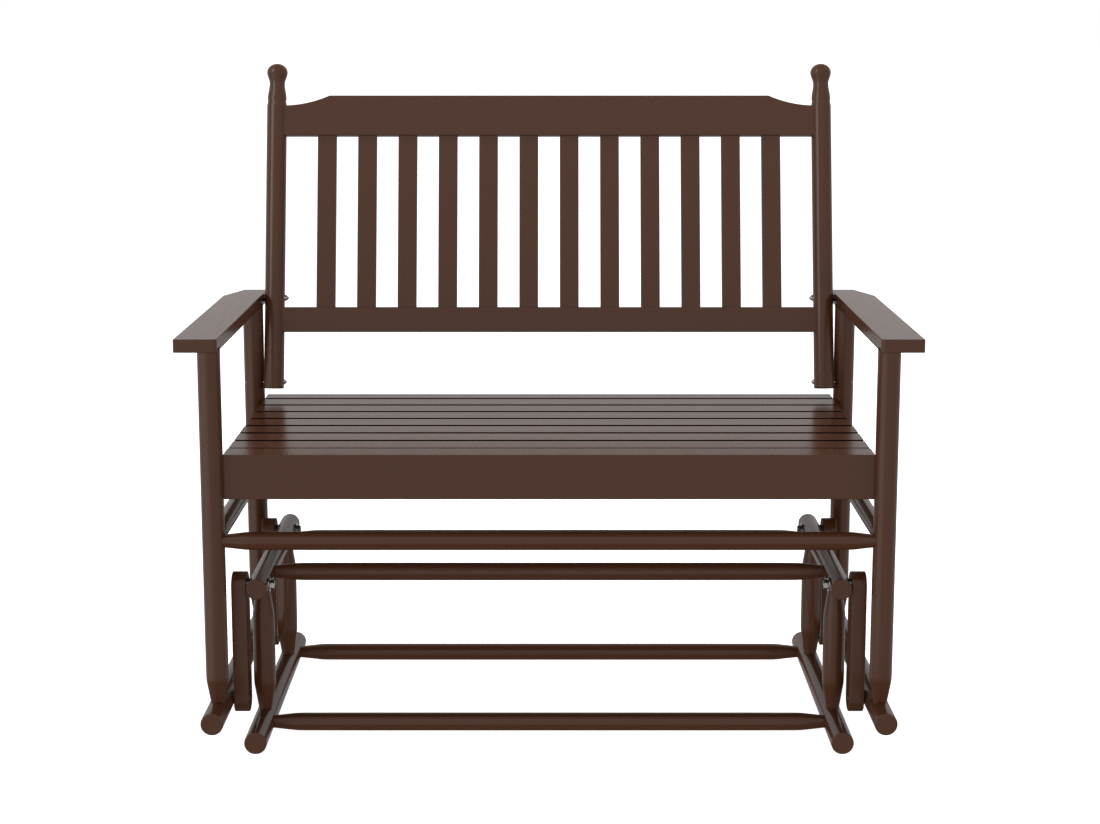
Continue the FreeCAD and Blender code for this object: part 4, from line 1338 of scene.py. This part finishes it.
@dataclass
class Back:
    """The leaning back: two stiles with ball finials, two rails and twelve upright slats."""

    stile_x: float = 466.6
    stile_r: float = 16.9
    foot: float = 53.5
    top: float = 504.5
    ball: tuple[float, float] = (15.0, 17.6)        # (below the top, radius) of each part of the finial
    neck: tuple[float, float] = (34.5, 13.0)
    swell: tuple[float, float] = (61.0, 16.1)
    groove: tuple[float, float] = (65.0, 15.5)
    shoulder: float = 72.0
    slope: float = 0.6              # half the height of the groove, and of the slope at the shoulder
    shoulder_step: float = 0.25
    # How the foot is rounded: (distance along the stile, radius), both from the foot's sharp edge
    foot_rim: tuple[tuple[float, float], ...] = ((-1.6, 0.0), (-0.5, -0.5), (0.0, -1.6), (0.0, -2.0))
    stile_points: int = 64
    rail_thickness: float = 20.0
    bottom_rail: tuple[float, float] = (42.7, 84.4)
    top_rail: tuple[float, float] = (379.4, 430.9)
    rail_half: float = 453.0
    crest_rise: float = 17.0
    crest_run: float = 74.0
    crest_sag: float = 5.7
    sag_share: float = 0.56
    slat_width: float = 32.0
    slat_thickness: float = 12.0
    slat_pitch: float = 69.0
    slat_let_in: float = 4.0
    slats_each_side: int = 6
    ease: float = 1.0

    def stile(self, x: float) -> Surface:
        """Make a stile: a ball, a neck and a swell follow each other as half waves above a plain round bar.

        Args:
            x: Of its axis.

        Returns:
            The stile, upright.
        """
        turn = np.linspace(0.05, math.pi / 2.0, 14)
        ball = np.stack([1.0 - np.cos(turn), np.sin(turn)], -1) * self.ball
        share = np.linspace(0.0, 1.0, DOME_RINGS)[1:]
        wave = np.stack([share, (1.0 - np.cos(math.pi * share)) / 2.0], -1)
        waves = [np.array(before) + wave * np.subtract(after, before)
                 for before, after in ((self.ball, self.neck), (self.neck, self.swell))]
        below = self.top + self.foot
        plain = np.linspace(self.shoulder + 3.0, below - 2.0, 40)
        profile = np.concatenate([
            ball, *waves,
            np.array([[-self.slope, 0.0], [self.slope, 0.0]]) + self.groove,
            np.array([[-self.slope, -self.shoulder_step], [self.slope, 0.0]]) + (self.shoulder, self.stile_r),
            np.stack([plain, np.full_like(plain, self.stile_r)], -1),
            np.array(self.foot_rim) + (below, self.stile_r),
        ])
        return turned(profile, (x, 0.0, self.top), (0.0, 0.0, -1.0), self.stile_points)

    def crest(self, x: Array) -> Array:
        """Work out the top rail's upper edge: level in the middle, with a hollow curve down at each end.

        The curve is the circle through its two ends and the sag point between them.

        Args:
            x: Distances along the rail.

        Returns:
            The height of the edge at each of them.
        """
        passed = np.array([
            [self.crest_run, self.crest_rise], [self.sag_share * self.crest_run, self.crest_sag],
        ])
        centre = np.linalg.solve(2.0 * passed, (passed ** 2).sum(1))
        along = np.clip(self.stile_x - self.stile_r - np.abs(x), 0.0, self.crest_run)
        return self.top_rail[1] + centre[1] - np.sqrt((centre ** 2).sum() - (along - centre[0]) ** 2)

    def top_rail_surface(self) -> Surface:
        """Make the top rail: an eased rectangle carried along X, whose height follows the crest.

        Returns:
            The rail, upright.
        """
        shoulder = self.stile_x - self.stile_r
        hollow = shoulder - self.crest_run
        level, curve = np.linspace(0.0, hollow - 1.0, 12), np.linspace(hollow, shoulder, 24)
        half = np.concatenate([level, curve, [self.rail_half]])
        x = np.concatenate([-half[:0:-1], half])[:, None]
        up = eased_corner(self.ease, CORNER_STEPS)
        down = up[::-1]
        half_thick = self.rail_thickness / 2.0
        y = np.concatenate([up[:, 0] - half_thick, down[:, 0] - half_thick, half_thick - up[:, 0],
                            half_thick - down[:, 0]])
        lift = np.concatenate([up[:, 1], -down[:, 1], -up[:, 1], down[:, 1]])
        is_high = np.repeat([False, True, True, False], len(up))
        z = np.where(is_high, self.crest(x), self.top_rail[0]) + lift
        return carried(np.stack([np.broadcast_to(x, z.shape), np.broadcast_to(y, z.shape), z], -1))

    def build(self, shop: Workshop) -> None:
        """Make the back's pieces.

        Args:
            shop: Where they are made.
        """
        for side, sign in SIDES:
            shop.add(f"turned_stile_{side}", self.stile(sign * self.stile_x), "seat", f"back_stile_{side}",
                     grain=Axis.Z, lean=LEAN)
        shop.add("painted_top_rail_of_back", self.top_rail_surface(), "seat", "back_top_rail", lean=LEAN)
        low, high = self.bottom_rail
        half_thick = self.rail_thickness / 2.0
        section = rectangle(-half_thick, half_thick, low, high, self.ease)
        bottom = lath(section, -self.rail_half, self.rail_half, Axis.X)
        shop.add("painted_bottom_rail_of_back", bottom, "seat", "back_bottom_rail", lean=LEAN)
        half_wide, half_thick = self.slat_width / 2.0, self.slat_thickness / 2.0
        slat = lath(rectangle(-half_wide, half_wide, -half_thick, half_thick, self.ease),
                    high - self.slat_let_in, self.top_rail[0] + self.slat_let_in, Axis.Z)
        for side, sign in SIDES:
            slats = [slat.moved((sign * (number + 0.5) * self.slat_pitch, 0.0, 0.0))
                     for number in range(self.slats_each_side)]
            shop.add(f"painted_back_slats_{side}", joined(slats), "seat", f"back_slats_{side}", grain=Axis.Z,
                     lean=LEAN)


@dataclass
class StileFasteners:
    """The bolts that hold the back to the armrests and the rear posts, with their cap nuts and spacers."""

    stile_x: float = 466.6
    stile_r: float = 16.9
    post_x: float = 501.0
    post_r: float = 17.0
    arm_z: float = 626.0
    arm_bite_x: float = 514.0
    arm_inner_x: float = 486.0
    post_z: float = 485.964
    arm_seat: float = 1.101         # depth of the flats under the washers and the head
    post_seat: float = 3.975
    head_seat: float = 4.848
    head: DomedHead = DomedHead(7.0, 3.0)
    bolt_r: float = 3.0
    tail: float = 3.0               # of the bolts, past the washers' seats
    tail_cut: float = 0.4
    nut_flats: float = 9.0
    nut_length: float = 7.5
    prism_share: float = 0.4        # of the nut's length that is six-sided
    dome_share: float = 0.92        # of half the nut's width, as the dome's radius
    dome_sunk: float = 0.3          # how far inside the hexagon the dome's curve begins
    dome_foot: float = 0.5          # and the dome goes straight on below that
    dome_end: float = 0.97          # share of the curve at which its tip is cut flat
    washer_r: float = 6.0
    washer_thickness: float = 1.0

    def cap_nut(self, line: Across, seat_x: float) -> Surface:
        """Make a cap nut and its washer: a hexagon that runs out in a small dome, whose side is a parabola.

        Args:
            line: Of the bolt.
            seat_x: Where the washer lies, from the bench's middle.

        Returns:
            The nut and the washer.
        """
        start = seat_x - self.washer_thickness
        half, inwards = self.nut_length * self.prism_share, (-line.sign, 0.0, 0.0)
        washer = line.ring(start, seat_x, self.washer_r, self.bolt_r + PLAY, THIN_EDGE)
        prism = Hexagon(self.nut_flats, half, 0.0).surface(line.at(start), inwards)
        share = np.linspace(0.0, self.dome_end, DOME_RINGS)
        radius = self.nut_flats / 2.0 * self.dome_share
        begins = half - self.dome_sunk
        dome = np.stack([begins + (self.nut_length - begins) * share, radius * (1.0 - share ** 2)], -1)
        profile = np.concatenate([[[begins - self.dome_foot, radius]], dome])
        return joined([washer, prism, turned(profile, line.at(start), inwards)])

    def build(self, shop: Workshop) -> None:
        """Make the fasteners.

        Args:
            shop: Where they are made.
        """
        inner, outer = self.stile_x - self.stile_r, self.stile_x + self.stile_r
        head_x = self.post_x + self.post_r - self.head_seat
        bolts: list[Surface] = []
        nuts: list[Surface] = []
        spacers: list[Surface] = []
        for _, sign in SIDES:
            arm = Across(sign, LEAN.axis_y(self.arm_z), self.arm_z)
            post = Across(sign, (LEAN.y + LEAN.axis_y(self.post_z)) / 2.0, self.post_z)
            tail_x = inner + self.arm_seat - self.tail
            shank = np.array([
                [0.0, self.bolt_r - self.tail_cut], [self.tail_cut, self.bolt_r],
                [self.arm_bite_x - tail_x, self.bolt_r],
            ])
            bolts.append(turned(shank, arm.at(tail_x), arm.outwards))
            tail_x = inner + self.post_seat - self.tail
            bolts.append(self.head.bolt(post.at(tail_x), post.at(head_x), [(0.0, self.bolt_r)]))
            nuts += [self.cap_nut(arm, inner + self.arm_seat), self.cap_nut(post, inner + self.post_seat)]
            spacers.append(arm.ring(outer - self.arm_seat, self.arm_inner_x, self.washer_r,
                                    self.bolt_r + PLAY))
        shop.add("plated_stile_bolts", joined(bolts), "seat", "stile_bolts", Slot.STEEL)
        shop.add("plated_cap_nuts", joined(nuts), "seat", "stile_cap_nuts_and_spacers", Slot.STEEL)
        # the spacers at the armrests are painted all over in near-black painted shade
        between = joined(spacers)
        shop.add("spacers_in_painted_shade_at_armrests", between, "seat", "stile_cap_nuts_and_spacers",
                 painted_shade=np.ones(len(between.points)))


# The studio


@dataclass(frozen=True)
class Softbox:
    """A cloth-fronted light that is turned to the bench.

    Attributes:
        azimuth: Degrees to the right of the camera, seen from the bench.
        elevation: Degrees above the bench's middle.
        distance: From the middle, in metres.
        width: In metres.
        height: In metres.
        power: In watts.
        shines: Whether the paint mirrors it.
        fills: Whether it lights what doesn't mirror it.
    """

    azimuth: float
    elevation: float
    distance: float
    width: float
    height: float
    power: float
    shines: bool = True
    fills: bool = True

    def build(self, name: str) -> None:
        """Hang the light.

        Args:
            name: Of the light.
        """
        light = bpy.data.lights.new(name, "AREA")
        light.shape, light.size, light.size_y, light.energy = "RECTANGLE", self.width, self.height, self.power
        lamp = bpy.data.objects.new(name, light)
        turn, rise = math.radians(self.azimuth), math.radians(self.elevation)
        away = Vector((math.sin(turn) * math.cos(rise), -math.cos(turn) * math.cos(rise), math.sin(rise)))
        lamp.location = Vector(LAMP_TARGET) + away * self.distance
        lamp.rotation_euler = away.to_track_quat("Z", "Y").to_euler()
        lamp.visible_camera, lamp.visible_glossy, lamp.visible_diffuse = False, self.shines, self.fills
        bpy.context.scene.collection.objects.link(lamp)


@dataclass(frozen=True)
class Walls:
    """How bright each side of the light tent is, as the camera of the photograph sees the sides."""

    left: float
    right: float
    front: float
    rear: float


@dataclass
class Studio:
    """A white paper floor, even white light from all round, and the camera of the photograph."""

    floor_half: float = 60000.0
    light: Walls = Walls(1.5, 0.8, 1.15, 0.66)
    top_light: float = 0.12
    low_light: float = 0.2
    shine: Walls = Walls(0.8, 0.7, 1.0, 0.62)           # what the paint mirrors above the horizon
    floor_shine: Walls = Walls(0.85, 0.75, 0.85, 0.4)   # and below it
    floor_edge: tuple[float, float] = (-0.45, -0.33)    # sines of the elevations where the floor's shine ends
    roof_edge: tuple[float, float] = (0.83, 0.99)       # and the walls' shine
    softboxes: dict[str, Softbox] = field(default_factory=lambda: {
        "key_softbox": Softbox(-58.0, 32.0, 3.0, 1.1, 2.0, 24.0, fills=False),
        "low_key_softbox": Softbox(-50.0, -12.0, 3.0, 2.8, 1.6, 9.5, fills=False),
        "overhead_softbox": Softbox(180.0, 75.0, 3.4, 3.2, 3.2, 90.0, shines=False),
    })
    camera_place: tuple[float, float, float] = (0.0, -3.072, 1.103)
    camera_down: float = 9.05       # degrees below the horizon
    camera_lens: float = 63.65
    camera_shift: tuple[float, float] = (0.0009, -0.08)
    sensor_width: float = 36.0

    def light_tent(self) -> bpy.types.World:
        """Make the light: a tent of white cloth whose sides, front, back and top are lit each by itself.

        The light from a direction is the walls' light, weighted by the squares of the direction's x and y,
        times 1 - z^2, and the light of the top or the bottom times z^2 (2 - z^2), so the tent is bright near
        the horizon and changes softly. The paint mirrors even walls, which end near the bench's feet. The
        camera sees the tent burnt out to white.

        Returns:
            The world.
        """
        world = bpy.data.worlds.new("light_tent")
        world.use_nodes = True
        tree = world.node_tree
        tree.nodes.clear()
        direction = add_node(tree, "ShaderNodeTexCoord").outputs["Generated"]
        axes = add_node(tree, "ShaderNodeSeparateXYZ", {"Vector": direction}).outputs
        square = {
            axis: add_node(tree, "ShaderNodeMath", {0: axes[axis], 1: axes[axis]},
                           operation="MULTIPLY").outputs[0]
            for axis in "XYZ"
        }

        def both_ways(axis: str, low: float, high: float, weight: Socket, before: Socket | float) -> Socket:
            """Add the light of the two ways along an axis, times a weight, to what comes before.

            Args:
                axis: Name of the axis.
                low: The light that comes from its negative side.
                high: The light from its positive side.
                weight: What either is multiplied by.
                before: What the product is added to.

            Returns:
                The sum.
            """
            is_high = add_node(tree, "ShaderNodeMath", {0: axes[axis], 1: 0.0}, operation="GREATER_THAN")
            wall = add_node(tree, "ShaderNodeMix", {0: is_high.outputs[0], 2: low, 3: high},
                            data_type="FLOAT")
            return add_node(tree, "ShaderNodeMath", {0: weight, 1: wall.outputs[0], 2: before},
                            operation="MULTIPLY_ADD").outputs[0]

        def all_round(walls: Walls) -> Socket:
            """Add the light of all four walls, which is smaller by 1 - z^2 away from the horizon."""
            sides = both_ways("X", walls.left, walls.right, square["X"], 0.0)
            return both_ways("Y", walls.front, walls.rear, square["Y"], sides)

        level = add_node(tree, "ShaderNodeMath", {0: 1.0, 1: square["Z"]}, operation="SUBTRACT").outputs[0]
        steep = add_node(tree, "ShaderNodeMath", {0: square["Z"], 1: level, 2: square["Z"]},
                         operation="MULTIPLY_ADD").outputs[0]
        ends = both_ways("Z", self.low_light, self.top_light, steep, 0.0)
        total = add_node(tree, "ShaderNodeMath", {0: all_round(self.light), 1: level, 2: ends},
                         operation="MULTIPLY_ADD").outputs[0]
        is_up = add_node(tree, "ShaderNodeMath", {0: axes["Z"], 1: 0.0}, operation="GREATER_THAN").outputs[0]
        mirrored = add_node(tree, "ShaderNodeMix", {
            0: is_up, 2: all_round(self.floor_shine), 3: all_round(self.shine),
        }, data_type="FLOAT").outputs[0]
        shine = add_node(tree, "ShaderNodeMath", {0: mirrored, 1: level}, operation="DIVIDE").outputs[0]
        for (start, end), before, after in ((self.floor_edge, self.low_light, 1.0),
                                            (self.roof_edge, 1.0, self.top_light)):
            edge = add_node(tree, "ShaderNodeMapRange", {
                "Value": axes["Z"], "From Min": start, "From Max": end, "To Min": before, "To Max": after,
            }, interpolation_type="SMOOTHSTEP").outputs["Result"]
            shine = add_node(tree, "ShaderNodeMath", {0: shine, 1: edge}, operation="MULTIPLY").outputs[0]
        ray = add_node(tree, "ShaderNodeLightPath").outputs
        strength = add_node(tree, "ShaderNodeMix", {0: ray["Is Glossy Ray"], 2: total, 3: shine},
                            data_type="FLOAT").outputs[0]
        lit, seen = (add_node(tree, "ShaderNodeBackground", {"Color": WHITE, "Strength": light}).outputs[0]
                     for light in (strength, 1.0))
        both = add_node(tree, "ShaderNodeMixShader", {0: ray["Is Camera Ray"], 1: lit, 2: seen})
        add_node(tree, "ShaderNodeOutputWorld", {"Surface": both.outputs["Shader"]})
        return world

    def lay_floor(self) -> None:
        """Lay the paper, which only the camera sees."""
        mesh = bpy.data.meshes.new("studio_floor")
        corner = np.array([[-1, -1, 0], [1, -1, 0], [1, 1, 0], [-1, 1, 0]]) * self.floor_half * MM
        mesh.from_pydata(corner.tolist(), [], [[0, 1, 2, 3]])
        mesh.materials.append(StudioPaper().material())
        floor = bpy.data.objects.new("studio_floor", mesh)
        bpy.context.scene.collection.objects.link(floor)
        floor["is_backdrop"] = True
        floor.visible_diffuse = floor.visible_glossy = floor.visible_shadow = False

    def place_camera(self) -> None:
        """Place the camera where the photograph was taken from."""
        lens = bpy.data.cameras.new("photograph_camera")
        lens.lens, lens.sensor_width = self.camera_lens, self.sensor_width
        lens.shift_x, lens.shift_y = self.camera_shift
        camera = bpy.data.objects.new("photograph_camera", lens)
        camera.location = self.camera_place
        camera.rotation_euler = (math.radians(90.0 - self.camera_down), 0.0, 0.0)
        bpy.context.scene.collection.objects.link(camera)
        bpy.context.scene.camera = camera

    def build(self) -> None:
        """Lay the floor, light it and place the camera."""
        bpy.context.scene.view_settings.view_transform = "Standard"
        self.lay_floor()
        bpy.context.scene.world = self.light_tent()
        for name, softbox in self.softboxes.items():
            softbox.build(name)
        self.place_camera()


def save_sizes() -> None:
    """Work out the CAD's box and the dressed bench's box as plain lists, which are then dropped."""
    boxes = {"cad": CAD_BOX, "visual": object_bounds()}
    {name: [list(corner) for corner in box] for name, box in boxes.items()}


def main() -> None:
    """Build the bench and its studio."""
    logging.basicConfig(level=logging.INFO, format="%(name)s: %(message)s")
    shop = Workshop()
    for assembly in (Base(), Linkage(), SeatFrame(), Seat(), Back(), StileFasteners()):
        log.info("building %s", type(assembly).__name__)
        assembly.build(shop)
    Studio().build()
    save_sizes()


if __name__ == "__main__":
    main()
